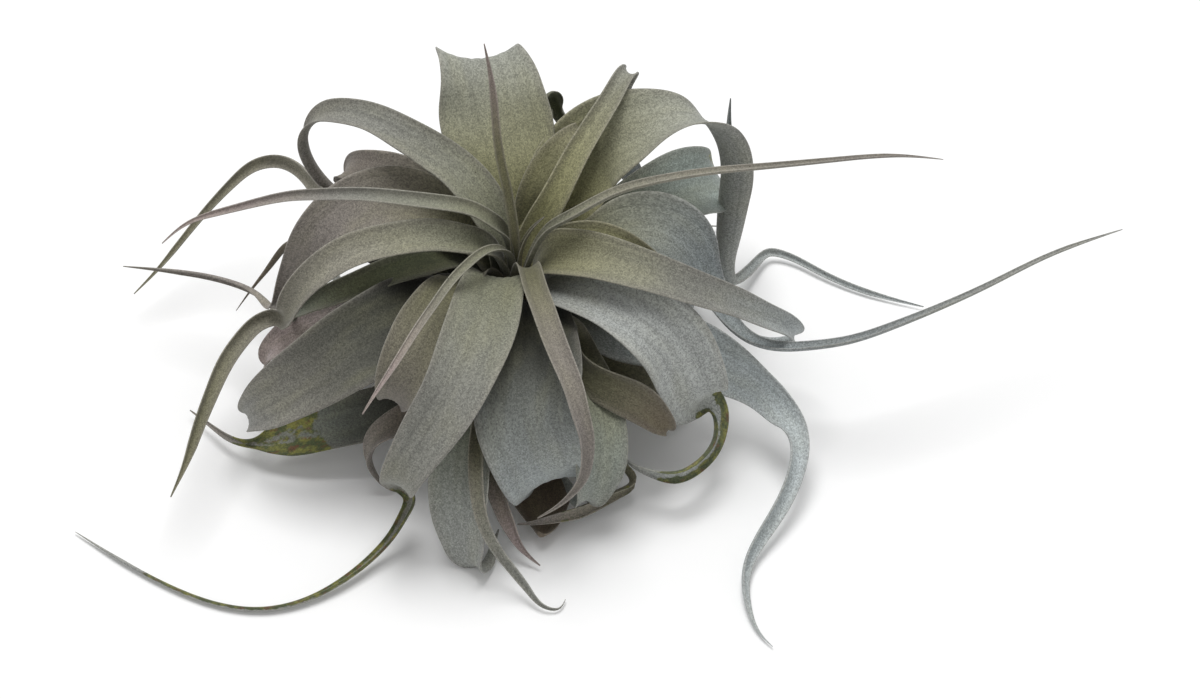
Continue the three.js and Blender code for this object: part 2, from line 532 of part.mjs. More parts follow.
const mixAt = (knots, values, where) => {
  let i = 1;
  while (i < knots.length - 1 && knots[i] < where) i++;
  const share = THREE.MathUtils.clamp((where - knots[i - 1]) / (knots[i] - knots[i - 1]), 0, 1);
  return values[i - 1] * (1 - share) + values[i] * share;
};

// Each value becomes the mean of itself and its neighbours, a few times over.
function smoothed(values, rounds) {
  let now = values;
  for (let round = 0; round < rounds; round++)
    now = now.map((v, i) => (now[Math.max(i - 1, 0)] + 2 * v + now[Math.min(i + 1, now.length - 1)]) / 4);
  return now;
}

// The leaf laid out in even steps: its places, widths and rolls.
function layOut(leaf) {
  const points = controlPoints(leaf);
  const knots = [0];
  for (let i = 1; i < points.length; i++)
    knots.push(knots[i - 1] + points[i].at.distanceTo(points[i - 1].at));
  const axes = ["x", "y", "z"].map((axis) => points.map((p) => p.at[axis]));
  const bends = axes.map((values) => splineBends(knots, values));
  const placeAt = (k) => new THREE.Vector3(...axes.map((v, i) => splineAt(knots, v, bends[i], k)));
  const fine = 8 * ROUTE_STEPS;
  const end = knots[knots.length - 1];
  const places = Array.from({ length: fine + 1 }, (_, i) => placeAt((end * i) / fine));
  const lengths = [0];
  for (let i = 1; i <= fine; i++) lengths.push(lengths[i - 1] + places[i].distanceTo(places[i - 1]));
  const length = lengths[fine];
  const knotAt = Array.from({ length: ROUTE_STEPS + 1 }, (_, i) => {
    const goal = (length * i) / ROUTE_STEPS;
    let j = 1;
    while (j < fine && lengths[j] < goal) j++;
    return (end / fine) * (j - 1 + (goal - lengths[j - 1]) / (lengths[j] - lengths[j - 1]));
  });
  return {
    length,
    places: knotAt.map(placeAt),
    widths: smoothed(knotAt.map((k) => mixAt(knots, points.map((p) => p.width), k)), 12),
    rolls: smoothed(knotAt.map((k) => mixAt(knots, points.map((p) => p.roll), k)), 12),
  };
}

// ---- A leaf's blade -----------------------------------------------------------------------

// Frames along the route. Each has a tangent, a side that points across the blade and an
// inner face. They carry on from the root without twisting, and then each turns a little
// towards the bend there, because a blade bends across its flat and not along its edge.
const FLAT_PULL = 0.05;
const FLAT_ROUNDS = 400;

function framesOf({ places, widths, rolls, length }, pull) {
  const last = places.length - 1;
  const step = length / last;
  const tangents = places.map((_, i) =>
    places[Math.min(i + 1, last)].clone().sub(places[Math.max(i - 1, 0)]).normalize(),
  );
  const outward = places[Math.round(last / 5)].clone().setZ(0).normalize();
  let side = UP.clone().cross(outward);
  const frames = tangents.map((tangent) => {
    side = side.clone().addScaledVector(tangent, -side.dot(tangent)).normalize();
    return { tangent, side, inner: tangent.clone().cross(side) };
  });
  const bendAngles = [];
  const pulls = [];
  for (let i = 0; i <= last; i++) {
    const bend = tangents[Math.min(i + 1, last)].clone().sub(tangents[Math.max(i - 1, 0)]);
    bendAngles.push(Math.atan2(bend.dot(frames[i].side), bend.dot(frames[i].inner)));
    pulls.push(pull * ((bend.length() / (2 * step)) * widths[i] * step) ** 2);
  }
  const turns = new Array(last + 1).fill(0);
  for (let round = 0; round < FLAT_ROUNDS; round++)
    for (let i = 1; i <= last; i++) {
      const flat = bendAngles[i] + Math.PI * Math.round((turns[i] - bendAngles[i]) / Math.PI);
      const next = turns[Math.min(i + 1, last)];
      turns[i] = (turns[i - 1] + next + pulls[i] * flat) / (2 + pulls[i]);
    }
  return frames.map(({ tangent, side: across, inner }, i) => {
    const angle = turns[i] + THREE.MathUtils.degToRad(rolls[i]);
    return {
      tangent,
      side: across.clone().applyAxisAngle(tangent, -angle),
      inner: inner.clone().applyAxisAngle(tangent, -angle),
    };
  });
}

// The steps that the faceted blade keeps: even in length and in turning taken together.
function stationsOf({ places, length }) {
  const last = places.length - 1;
  const effort = [0];
  for (let i = 1; i <= last; i++) {
    const here = places[i].clone().sub(places[i - 1]);
    const next = places[Math.min(i + 1, last)].clone().sub(places[Math.min(i, last - 1)]);
    effort.push(effort[i - 1] + length / last / STATION_LENGTH + here.angleTo(next) / STATION_TURN);
  }
  const count = Math.max(4, Math.round(effort[last]));
  return Array.from({ length: count + 1 }, (_, i) => {
    const goal = (effort[last] * i) / count;
    let j = 0;
    while (j < last && effort[j] < goal - 1e-6) j++;
    return j;
  });
}

// A closed blade: a bent section with two faces at each station, and a cap at each end. grow
// moves every face outwards.
function bladeGeometry(leaf, grow = 0) {
  const route = layOut(leaf);
  const frames = framesOf(route, leaf.twisted ? 0 : FLAT_PULL);
  const stations = stationsOf(route);
  const spans = Math.max(...route.widths) > NARROW_LEAF ? BLADE_SPANS : NARROW_SPANS;
  const ring = 2 * (spans + 1);
  const vertices = [];
  for (const station of stations) {
    const { side, inner } = frames[station];
    const width = route.widths[station];
    const open = THREE.MathUtils.smoothstep(width, ROLLED_WIDTH, OPEN_WIDTH);
    const bend = THREE.MathUtils.lerp(ROLLED_BEND, OPEN_BEND, open);
    const radius = width / 2 / Math.sin(bend / 2);
    const midrib = THREE.MathUtils.lerp(MARGIN_THICKNESS, MIDRIB_THICKNESS, open);
    const place = (across, face) => {
      const angle = (across * bend) / 2 + (across * grow) / radius;
      const depth = face * (THREE.MathUtils.lerp(midrib, MARGIN_THICKNESS, across ** 2) / 2 + grow);
      const point = route.places[station].clone();
      point.addScaledVector(side, (radius - depth) * Math.sin(angle));
      point.addScaledVector(inner, radius - (radius - depth) * Math.cos(angle));
      vertices.push(point.x, point.y, point.z);
    };
    for (let i = 0; i <= spans; i++) place((2 * i) / spans - 1, 1);
    for (let i = spans; i >= 0; i--) place((2 * i) / spans - 1, -1);
  }
  // The inner and the outer face are split along the same diagonals, or they would cross.
  const triangles = [];
  for (let s = 0; s + 1 < stations.length; s++)
    for (let i = 0; i < ring; i++) {
      const a = s * ring + i;
      const b = s * ring + ((i + 1) % ring);
      if (i <= spans) triangles.push(a, a + ring, b, b, a + ring, b + ring);
      else triangles.push(a, a + ring, b + ring, a, b + ring, b);
    }
  const cap = (first, turned) => {
    for (let i = 0; i < spans; i++) {
      const corners = [first + i, first + i + 1, first + ring - 2 - i, first + ring - 1 - i];
      const [a, b, c, d] = turned ? corners.reverse() : corners;
      triangles.push(a, b, c, a, c, d);
    }
  };
  cap(0, false);
  cap((stations.length - 1) * ring, true);
  const geometry = new THREE.BufferGeometry();
  geometry.setAttribute("position", new THREE.Float32BufferAttribute(vertices, 3));
  geometry.setIndex(triangles);
  return geometry;
}

// ---- Solids -------------------------------------------------------------------------------

const wasm = await Module();
wasm.setup();

function solidOf(geometry) {
  const bare = geometry.clone();
  for (const name of Object.keys(bare.attributes)) if (name !== "position") bare.deleteAttribute(name);
  const merged = mergeVertices(bare, 1e-4);
  return new wasm.Manifold(
    new wasm.Mesh({
      numProp: 3,
      vertProperties: merged.attributes.position.array,
      triVerts: new Uint32Array(merged.index.array),
    }),
  );
}

function geometryOf(solid) {
  const { vertProperties, triVerts } = solid.getMesh();
  const geometry = new THREE.BufferGeometry();
  geometry.setAttribute("position", new THREE.BufferAttribute(vertProperties, 3));
  geometry.setIndex(new THREE.BufferAttribute(triVerts, 1));
  return geometry;
}

const largestBody = (solid) =>
  solid.decompose().reduce((best, body) => (body.volume() > best.volume() ? body : best));

// The stem, a turned body that stands upright on its cut end.
function stemGeometry(grow = 0) {
  const outline = STEM_OUTLINE.map(([radius, height]) => new THREE.Vector2(radius + grow, height));
  const top = outline[outline.length - 1].y + 1 + grow;
  outline.unshift(new THREE.Vector2(0, -grow));
  outline[1].y = -grow;
  outline.push(new THREE.Vector2(0, top));
  return new THREE.LatheGeometry(outline, STEM_SIDES).rotateX(Math.PI / 2);
}

// ---- The plant ----------------------------------------------------------------------------

const plant = new THREE.Group();

function addPiece(name, geometry, colour) {
  const material = new THREE.MeshStandardMaterial({ color: colour, roughness: 0.85, metalness: 0 });
  const mesh = new THREE.Mesh(geometry, material);
  mesh.name = name;
  plant.add(mesh);
}

addPiece("stem", stemGeometry(), "#7a6a52");

// What reaches under the surface is taken off, which leaves a small flat where a leaf rests.
const ROOM = 1000;
const aboveSurface = solidOf(new THREE.BoxGeometry(ROOM, ROOM, ROOM).translate(0, 0, ROOM / 2));

// A leaf is cut clear of the stem and of each younger leaf, where their bases crowd the heart.
const inTheWay = [solidOf(stemGeometry(GAP))];
for (const leaf of LEAVES) {
  let blade = solidOf(bladeGeometry(leaf)).intersect(aboveSurface);
  for (const other of inTheWay) blade = blade.subtract(other);
  addPiece(leaf.name, geometryOf(largestBody(blade)), leaf.colour);
  inTheWay.push(solidOf(bladeGeometry(leaf, GAP)));
}

export default plant;
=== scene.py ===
import json
import math

import bpy
import numpy as np
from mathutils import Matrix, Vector


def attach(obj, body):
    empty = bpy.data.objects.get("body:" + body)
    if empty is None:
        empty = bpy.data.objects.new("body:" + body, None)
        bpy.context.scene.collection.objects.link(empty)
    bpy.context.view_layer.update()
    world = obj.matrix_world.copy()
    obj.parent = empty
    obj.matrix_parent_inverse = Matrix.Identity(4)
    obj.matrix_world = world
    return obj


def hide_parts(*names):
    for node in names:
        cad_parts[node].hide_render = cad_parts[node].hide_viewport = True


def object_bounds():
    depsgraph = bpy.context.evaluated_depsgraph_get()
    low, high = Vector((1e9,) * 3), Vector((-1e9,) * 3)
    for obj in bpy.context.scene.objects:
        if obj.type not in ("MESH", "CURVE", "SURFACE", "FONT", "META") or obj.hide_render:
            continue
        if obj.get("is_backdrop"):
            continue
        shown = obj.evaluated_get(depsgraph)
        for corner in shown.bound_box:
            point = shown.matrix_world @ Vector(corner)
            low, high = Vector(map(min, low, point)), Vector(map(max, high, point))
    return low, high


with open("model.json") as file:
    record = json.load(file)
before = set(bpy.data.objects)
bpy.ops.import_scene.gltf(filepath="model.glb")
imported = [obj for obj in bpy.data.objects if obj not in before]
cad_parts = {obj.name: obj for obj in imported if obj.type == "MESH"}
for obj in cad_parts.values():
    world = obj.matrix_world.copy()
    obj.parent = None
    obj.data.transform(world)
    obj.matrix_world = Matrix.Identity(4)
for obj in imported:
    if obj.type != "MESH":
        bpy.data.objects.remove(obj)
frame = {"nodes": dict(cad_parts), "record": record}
cad_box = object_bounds()
MM = 0.001  # the frame is in metres, and the leaves below are in millimetres
print("the frame holds", len(frame["nodes"]), "nodes")


def linear(hex_colour):
    """An sRGB hex colour as the linear red, green, blue and alpha that a shader wants."""
    parts = [int(hex_colour[i : i + 2], 16) / 255 for i in (1, 3, 5)]
    return tuple(c / 12.92 if c <= 0.04045 else ((c + 0.055) / 1.055) ** 2.4 for c in parts) + (1.0,)


# %% [markdown]
# ## The camera
# The photograph looks down at 45 degrees from the front, from far enough away that the long
# tips hardly shrink. A lens of 126 mm on a 36 mm wide sensor, 1.5 m away, takes in 429 mm
# across. The camera comes first, because most leaves are laid out as it sees them.
# %% Camera
HEART_HEIGHT = 72.0  # the heart of the rosette, over the surface
VIEW_DISTANCE = 1500.0
VIEW_STEEPNESS = math.radians(45)
VIEW_AIM = (30.4, -33.8)  # right of the heart and above it, in the plane across the view
VIEW_WIDTH = 428.6  # what the frame takes in across, at the heart
SENSOR_WIDTH = 36.0

VIEW_UP = np.array([0.0, math.sin(VIEW_STEEPNESS), math.cos(VIEW_STEEPNESS)])
VIEW_BACK = np.array([0.0, -math.cos(VIEW_STEEPNESS), math.sin(VIEW_STEEPNESS)])


def on_view_plane(right, up):
    """A point of the plane through the heart that lies across the view."""
    return np.array([right, 0.0, HEART_HEIGHT]) + up * VIEW_UP


EYE = on_view_plane(*VIEW_AIM) + VIEW_DISTANCE * VIEW_BACK

lens = bpy.data.cameras.new("camera")
lens.sensor_width = SENSOR_WIDTH
lens.lens = SENSOR_WIDTH * VIEW_DISTANCE / VIEW_WIDTH
camera = bpy.data.objects.new("camera", lens)
camera.location = EYE * MM
camera.rotation_euler = (math.radians(90) - VIEW_STEEPNESS, 0.0, 0.0)
bpy.context.collection.objects.link(camera)
bpy.context.scene.camera = camera
print(f"camera with a lens of {lens.lens:.0f} mm")

# %% [markdown]
# ## Floor and light
# The plant was photographed on pure white with a soft shadow under it. A pale floor and a
# white sky fill the shade between the leaves, and one large soft lamp, overhead and a little
# behind, models the blades and lays a shadow to the front. The floor is so well lit that it
# comes out white where nothing shades it. Blender's standard view shows the leaves' greys
# as they are given, where a film-like view would wash them out.
# %% Floor and light
FLOOR_SIZE = 8.0
SKY_STRENGTH = 0.55
LAMP_POWER = 15.5
LAMP_SIZE = 0.9
LAMP_PLACE = Vector((-0.03, 0.26, 1.45))
LAMP_AIM = Vector((0.0, 0.0, 0.06))


def new_material(name):
    """A material, its node tree and the shader in it."""
    made = bpy.data.materials.new(name)
    made.use_nodes = True
    return made, made.node_tree, made.node_tree.nodes["Principled BSDF"]


floor_mesh = bpy.data.meshes.new("floor")
half = FLOOR_SIZE / 2
floor_mesh.from_pydata(
    [(-half, -half, 0), (half, -half, 0), (half, half, 0), (-half, half, 0)], [], [(0, 1, 2, 3)]
)
floor = bpy.data.objects.new("floor", floor_mesh)
bpy.context.collection.objects.link(floor)
floor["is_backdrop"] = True
# smooth matt paper: even white, no gloss
paper, _, paper_shader = new_material("white_studio_paper")
paper_shader.inputs["Base Color"].default_value = linear("#f5f5f5")
paper_shader.inputs["Roughness"].default_value = 0.95
paper_shader.inputs["Specular IOR Level"].default_value = 0.1
floor_mesh.materials.append(paper)

sky = bpy.data.worlds.new("white_studio")
sky.use_nodes = True
sky.node_tree.nodes["Background"].inputs["Color"].default_value = (1.0, 1.0, 1.0, 1.0)
sky.node_tree.nodes["Background"].inputs["Strength"].default_value = SKY_STRENGTH
bpy.context.scene.world = sky
bpy.context.scene.view_settings.view_transform = "Standard"

softbox = bpy.data.lights.new("softbox", "AREA")
softbox.shape = "DISK"
softbox.size = LAMP_SIZE
softbox.energy = LAMP_POWER
lamp = bpy.data.objects.new("softbox", softbox)
lamp.location = LAMP_PLACE
lamp.rotation_euler = (LAMP_AIM - LAMP_PLACE).to_track_quat("-Z", "Y").to_euler()
bpy.context.collection.objects.link(lamp)
print("floor, sky and one softbox")

# %% [markdown]
# ## The colours of the leaves
# Under its scales a leaf is green. Where it is young, in the heart, the green shows through,
# brightest in the upper leaves. The dull slate at the base of the low ones is painted shade,
# the shade that the leaves above cast there. Farther out the scales are dense and it turns
# to ash, sand or silver. Pale and frost are partly the densest scales and partly painted
# light: they brighten blades that face away from the lamp. Strong light has brought out
# mauve and pink along the margins and the youngest tips. Old leaves at the bottom are
# brown. A leaf names three of these tones: at its base, in its middle and at its tip.
# %% Tones
TONES = {
    "green": "#807e5f",
    "spring": "#93916b",
    "sage": "#7c7d69",
    "olive": "#6b6951",
    "moss": "#585d45",
    # slate is painted shade, for the bases of low leaves that lie in the others' shade
    "slate": "#5d5e55",
    "sand": "#89867a",
    "ash": "#81817a",
    "silver": "#8e908b",
    # pale and frost are partly the densest scales and partly painted light, lighter for blades that face
    # away from the lamp
    "pale": "#a2a5a2",
    "frost": "#b3babb",
    "blue": "#8f9698",
    "teal": "#858e88",
    "mauve": "#86807a",
    "pink": "#988a87",
    "brown": "#635748",
}
TONES = {name: np.array(linear(colour)[:3]) for name, colour in TONES.items()}

# %% [markdown]
# ## The leaves
# Each row is one leaf, youngest first, and lays out its midrib with the same points as the
# part's own source. `root` is its azimuth and its height on the stem. `seen` gives points
# as the camera sees them: right of the heart, above it, height over the surface, width, and
# for many a roll in degrees. `round` gives the leaves at the back: reach from the stem,
# azimuth, height and width. A `twisted` leaf follows its rolls alone. `fresh` and `shaded`
# say how much farther than usual the base's tone and its painted shade reach, `dark` how
# dark that painted shade makes the base, and `moss` from where to where, as shares of the
# length, and how much moss grows.
#
# The places, heights and widths were chosen one by one. Most of the rolls were worked out
# beforehand by another program, from how far each blade is turned from the camera.
# %% Leaves
def row(name, tones, root, **rest):
    return {"name": name, "tones": tones.split(), "root": root, **rest}


LEAVES = [
    row("leaf_01_needle", "green green pink", (100, 60), seen=[
        (0, 5, 76, 3.4), (-3, 25, 98, 3.2), (-6, 40, 117, 2.8), (-8, 60, 140, 2.2), (-11, 75.5, 158, 1.4)]),
    row("leaf_02_heart", "green green sand", (-15, 60), seen=[
        (2.5, 0, 71, 3.2), (5, 7, 80, 2.8), (10.5, 13.5, 93, 1.4)]),
    row("leaf_03_long_right_tip", "sage sand mauve", (-30, 58), seen=[
        (7, 0, 76, 5), (12, 8, 86, 5), (20, 13, 94, 4.8), (36, 21.5, 104, 4.4), (52, 26, 109, 4),
        (70, 29, 111, 3.6), (85, 30.5, 111, 3.2), (115, 33.5, 107, 2.4), (140, 35, 103, 1.8),
        (153, 34, 100, 1.4)]),
    row("leaf_04_curled_pink", "sage sand pink", (175, 58), seen=[
        (-4, 1, 77, 3.6), (-8, 1.5, 82, 3.4), (-12, 0, 85, 3.2), (-17, -4, 86.5, 3.2), (-22, -9, 86, 3),
        (-28, -17, 84.5, 2.8), (-35, -27, 82, 2.6), (-42, -38, 79, 2.2), (-50, -50, 75, 1.8),
        (-54.5, -57, 72, 1.4)]),
    row("leaf_05_long_left_tip", "sage ash pink", (150, 56), seen=[
        (-5, 8, 79, 6.5), (-9, 11.5, 86, 6.5), (-15, 15, 91, 6.3), (-25, 17.5, 95.5, 6),
        (-40, 19.5, 98.5, 5.5), (-55, 21, 99.5, 4.8), (-70, 21, 98, 4.2), (-80, 20.5, 96, 3.6),
        (-95, 17.5, 92, 2.8), (-107, 14.5, 88.5, 2.2), (-117, 11, 85, 1.8), (-126, 4, 79, 1.4)]),
    row("leaf_06_front_strap", "olive mauve mauve", (-72, 55), seen=[
        (4.5, -5, 75, 8), (7, -12, 80.5, 8.2), (10, -20, 82.5, 8.2), (13.5, -29.5, 82, 8),
        (17, -38.5, 79, 7.6), (20.5, -47.5, 74.5, 7), (23, -56.5, 68, 6.2), (25, -64, 61.5, 5.2),
        (25.5, -71.5, 54, 4.2), (24.5, -78, 47, 3.4), (21.5, -83.5, 41, 2.8), (16, -89, 37, 2.2),
        (8, -94, 35, 1.4)]),
    row("leaf_07_upright_blade", "spring ash silver", (62, 54), fresh=1.2, dark=0.95, seen=[
        (8.5, 11, 75.5, 10.8), (13.7, 20, 85.5, 9.8), (21.8, 35, 98.5, 8.6), (31, 50, 108.5, 7.8),
        (36.3, 58.8, 113.5, 7.2), (39.3, 63.8, 115.5, 6.6), (40.8, 64.6, 113, 5.4), (39.5, 61, 107, 4.2),
        (37.5, 52, 95, 3.2), (35.5, 42, 83, 2.2), (33.5, 32, 69, 1.6)]),
    row("leaf_08_right_strap", "green ash frost", (-12, 52), seen=[
        (13, 0, 75.5, 17, -49), (20, 0.1, 81, 17.8, -20), (30, -1.3, 85.5, 17.2, -7),
        (40, -4, 86.5, 15.8, 7), (50, -7.2, 84, 14.4, 10), (60, -10.8, 79, 13.4, 12),
        (70, -14.4, 72, 12.2, 11), (80, -18, 63.5, 10.6, 4), (90, -22.5, 53.5, 9, 3), (96.5, -25.2, 46, 8),
        (99.8, -27.6, 38.5, 6.4, -33), (98.6, -29.2, 31.5, 4.4, -17), (91, -30, 25.5, 2.8, -8),
        (84, -28, 23, 1.8, -4)]),
    row("leaf_45_right_green_blade", "green green olive", (5, 49), seen=[
        (13, 2.5, 68, 10, 47), (20, 5.2, 74.5, 12, 4), (29, 5.3, 78, 13, -21), (38, 2.4, 78, 12.4, -17),
        (46, -2.4, 74.5, 10.5, -10), (53, -8, 67, 7.4, -5), (56, -12.5, 58, 4.6), (54, -15.5, 50.5, 2.8),
        (49, -16.5, 46, 1.6)]),
    row("leaf_09_left_strap", "sage sand olive", (170, 52), seen=[
        (-10, 2.5, 76, 10.4, 16), (-18, 4.8, 83, 11.2, 8), (-29, 6.4, 87.5, 12, 18),
        (-40, 5.7, 88.5, 12, 20), (-50, 3.8, 87, 12.2, 26), (-60, 0.5, 84, 12, 30), (-69, -5, 78, 11.2, 29),
        (-75.6, -11, 70, 10, 32), (-79.6, -17, 61, 8.8, 43), (-81, -21.4, 53, 7.8, 21),
        (-82.2, -22.6, 47, 6.8, 11), (-85.6, -21.6, 43, 6, 5), (-90.5, -23.4, 41.5, 5.8, -24),
        (-97, -29.4, 40, 5.8, -31), (-103.5, -38.6, 38.5, 5.8, -32), (-109.3, -50.5, 37, 5, -16),
        (-114, -62.5, 34.5, 4.2, -8), (-118.2, -75, 31.5, 2.8), (-123, -86.5, 29.5, 1.4)]),
    row("leaf_10_front_left_blade", "sage ash pale", (250, 50), moss=(0.42, 0.95, 0.75), seen=[
        (-6, -9, 73, 21), (-9.5, -17, 76.5, 24), (-13.5, -28, 77.5, 25.3), (-18.5, -40, 75, 24),
        (-24.3, -52.3, 69, 22), (-30.3, -62.6, 60.5, 19.8, -15), (-36, -71.8, 51, 16.8, -10),
        (-40.2, -79, 42, 14, -4), (-41.5, -81.7, 34.5, 13.2), (-41, -81.6, 27.5, 10.8),
        (-38.2, -83, 22, 6.6), (-36.4, -86.8, 18, 4.6), (-38.5, -93, 13, 4.1), (-42.7, -100, 8.5, 3.9),
        (-49, -107.3, 5, 3.8), (-57.5, -114.5, 3.4, 3.7), (-69, -121.5, 2.2, 3.3), (-80, -125.5, 1.8, 3),
        (-90, -127, 1.6, 2.8), (-123, -119, 1.4, 2.1), (-157, -99, 1.2, 1.4)]),
    row("leaf_11_front_right_blade", "silver pale pale", (-38, 47),
        shaded=0.7, dark=0.75, moss=(0.6, 0.95, 1.0), twisted=True, seen=[
        (13, -12, 66, 15, -12), (22, -13.6, 71.5, 18.5, -16), (35, -17.6, 73.5, 23, -19),
        (47.5, -24.6, 69.5, 27, -24), (56.3, -33.2, 59.5, 28, -35), (61.2, -42.5, 48.5, 26.3, -44),
        (63.9, -49.6, 39.5, 25.6, -52), (65.2, -52, 33.5, 20, -46), (67.8, -51.6, 29, 11, -20),
        (70.7, -54.4, 25.5, 7.6, 10), (72, -60.5, 22.5, 7.6, 49), (70.4, -67.7, 20, 7.2, 64),
        (65, -74.2, 18.5, 6.8, 69), (57.5, -78, 18, 6.2, 70), (49, -77.2, 18.5, 5, 68),
        (42, -74.6, 20, 3.4, 67), (37, -70.5, 21.5, 1.6, 64)]),
    row("leaf_12_top_back_blade", "spring silver silver", (98, 46), fresh=1.15, dark=1.0, seen=[
        (-2, 13, 69, 20), (-3, 27, 82, 31, 26), (-5.2, 41, 93.5, 39.5, 34), (-8.2, 53, 103, 40, 18),
        (-11, 63.5, 110.5, 36), (-13.4, 69.4, 112.3, 30.5, -18), (-13.8, 67, 106, 26.5, -22),
        (-12, 57, 92, 18, -10), (-8.5, 44, 74, 12), (-6, 33, 57, 8), (-4, 23, 40, 5.5), (-1.5, 16.5, 26, 4),
        (1, 14, 15, 2.8), (3, 15.5, 8, 1.6)]),
    row("leaf_13_upper_left_strap", "sage ash mauve", (135, 46), fresh=1.0, dark=0.82, seen=[
        (-8, 10.5, 76, 16.5, 5), (-14, 21.5, 86, 17.5, 21), (-22, 30.5, 93, 16, 30),
        (-31, 37.3, 98.5, 14.4, 19), (-41, 43.3, 104, 12.8, 15), (-51, 48.2, 107, 11.2, 18),
        (-62, 50.5, 106.5, 9.8, 18), (-70, 49, 101, 8.8, 18), (-74, 43.5, 92.5, 7.2, -7),
        (-73.5, 36.5, 82, 6, -9), (-70, 30, 72, 5.6, -5), (-65, 24.5, 63, 4.8), (-58, 19, 54, 2.8),
        (-50, 14.5, 46, 1.4)]),
    row("leaf_14_big_arc", "spring silver frost", (42, 44),
        fresh=1.35, dark=1.0, moss=(0.75, 0.95, 0.4), twisted=True, seen=[
        (12.5, 11, 68, 26, -9), (18.5, 23, 80, 31, -12), (26.8, 35.5, 91, 33, -13), (37, 42.6, 100.5, 31.5),
        (46.1, 46.1, 105.5, 27, 11), (54.3, 48.6, 108.5, 22, 27), (61.3, 49.2, 108.5, 17, 43),
        (68, 47.4, 104.5, 13.5, 66), (73, 43.9, 97.5, 12.4, 88), (77.3, 37.5, 87.5, 12.6, 95),
        (78.7, 29.5, 77, 12.6, 94), (77.8, 20, 62, 11.8, 95), (76.3, 10, 45.5, 10.4, 97),
        (75, 2, 32, 8.4, 93), (74.8, -6, 18.5, 6.2, 88), (77, -10.3, 10, 4.6, 84), (81.5, -8, 6.5, 3.8, 63),
        (86, -2.6, 5, 3.2, 40), (91, 1, 4.2, 2.8, 10), (97, 0, 3.6, 2.5, 7), (108, -5.3, 3, 2.2, 10),
        (123, -12, 2.4, 1.9, 7), (146, -18.5, 1.8, 1.6, 6)]),
    row("leaf_15_left_blade", "olive mauve mauve", (155, 44), seen=[
        (-13, 4.5, 69, 16, 22), (-25, 13.5, 76.5, 20.5, 57), (-38, 19, 81, 23.5, 85),
        (-50, 18.3, 82, 24.5, 63), (-60, 13.8, 79.5, 24, 40), (-68.3, 6.7, 73.5, 21, 20),
        (-74.3, -1, 64.5, 16.5, 3), (-78.8, -8.5, 54, 11.5, -22), (-82.3, -14.7, 46, 7.6, -11),
        (-85.2, -18.2, 40.5, 5.4, -5), (-88.7, -16, 38, 4.4), (-94, -12, 36, 3.8), (-108, -7.5, 35, 2.9),
        (-127, -5, 33.5, 2), (-140, -4, 32.5, 1.4)]),
    row("leaf_16_right_blade", "green blue silver", (20, 44), twisted=True, seen=[
        (18, 0.8, 65, 14, -7), (30, 3.8, 73, 20, -17), (42, 8, 77.5, 27.5, -27), (52.5, 7.4, 76.5, 29, -33),
        (60.3, 2.5, 70.5, 26, -42), (65.5, -5.5, 61, 16.5, -42), (70, -13.5, 53, 11.5, -32),
        (75, -22.8, 46.5, 7.6, -17), (82.5, -30.2, 42.5, 5.8, -12), (92, -33.6, 41, 5.2, -9),
        (105, -33.6, 42.5, 4.8, -11), (120, -31.3, 45.5, 4.3, -11), (135, -26.3, 48, 3.8, -10),
        (150, -20.2, 50, 3.3, -10), (170, -11, 52, 2.7, -8), (190, -1, 53, 2.1, -10),
        (217, 9, 54, 1.5, -12)]),
    row("leaf_17_front_blade", "slate frost frost", (-82, 42), shaded=1.6, dark=0.22, seen=[
        (5.5, -17, 60.5, 22), (6, -30, 64, 31), (5.5, -45, 62.5, 37.5), (5.6, -58, 56, 38.5, 9),
        (7.8, -69, 45.5, 35, 9), (10, -76.6, 34.5, 31, 4), (11.2, -80.2, 25.5, 28, 9),
        (11.4, -79.4, 18, 22.5, 5), (10.5, -75, 12, 14), (6, -69, 9, 8), (0, -63, 8, 4), (-5, -57, 8, 1.6)]),
    row("leaf_18_left_low_blade", "slate mauve silver", (200, 38), shaded=1.9, dark=0.36, seen=[
        (-17, -13, 57, 19), (-30, -17, 62, 26), (-45, -25.8, 62.5, 30, -1), (-60, -34.8, 58.5, 29.4),
        (-71, -42, 52, 26, -4), (-81, -48.3, 44.5, 22.4, -4), (-88.5, -53, 37, 18.8),
        (-94, -56.6, 28.5, 12.6), (-94.5, -58.5, 21, 7.5), (-89.5, -58, 16, 5), (-80, -54, 12.5, 3.2),
        (-72, -49, 11, 1.6)]),
    row("leaf_19_behind_front_left", "olive mauve mauve", (222, 43), shaded=1.3, dark=0.6, seen=[
        (-16, -8.5, 66, 17), (-23.5, -16, 71, 21.5), (-31, -26.5, 70.5, 22.5), (-37.3, -37.5, 65, 20.5),
        (-41.3, -46, 56, 17), (-43, -50.8, 46.5, 12), (-43, -51.3, 37.5, 8), (-40, -48, 30.5, 5.2),
        (-34, -42, 26, 3), (-27, -35, 24, 1.6)]),
    row("leaf_20_left_strip", "moss olive teal", (182, 41), shaded=1.5, dark=0.45, seen=[
        (-18, -4, 64, 11), (-33, -3.4, 69.5, 12, 27), (-47, -7.6, 70.5, 10.6, 2),
        (-60, -12.8, 67.5, 9, -12), (-69.5, -16.4, 61, 7.6, -8), (-75.5, -19, 54, 6.2, -4),
        (-78.3, -20.8, 47, 4.6), (-75.5, -22.3, 41, 3.4), (-67, -22, 35.5, 2.6), (-60, -21.5, 31, 1.6)]),
    row("leaf_21_behind_left_low", "mauve pink pink", (188, 33), shaded=1.4, dark=0.5, seen=[
        (-20, -19, 46, 16), (-36, -20, 51, 21), (-54, -22.5, 50.5, 23.5), (-69, -26.3, 45.5, 22.5),
        (-80.5, -30.5, 38.5, 18.5), (-87.3, -35.2, 31, 12.5), (-88, -39.5, 24, 7), (-82, -41, 18, 4),
        (-74, -41, 15, 1.8)]),
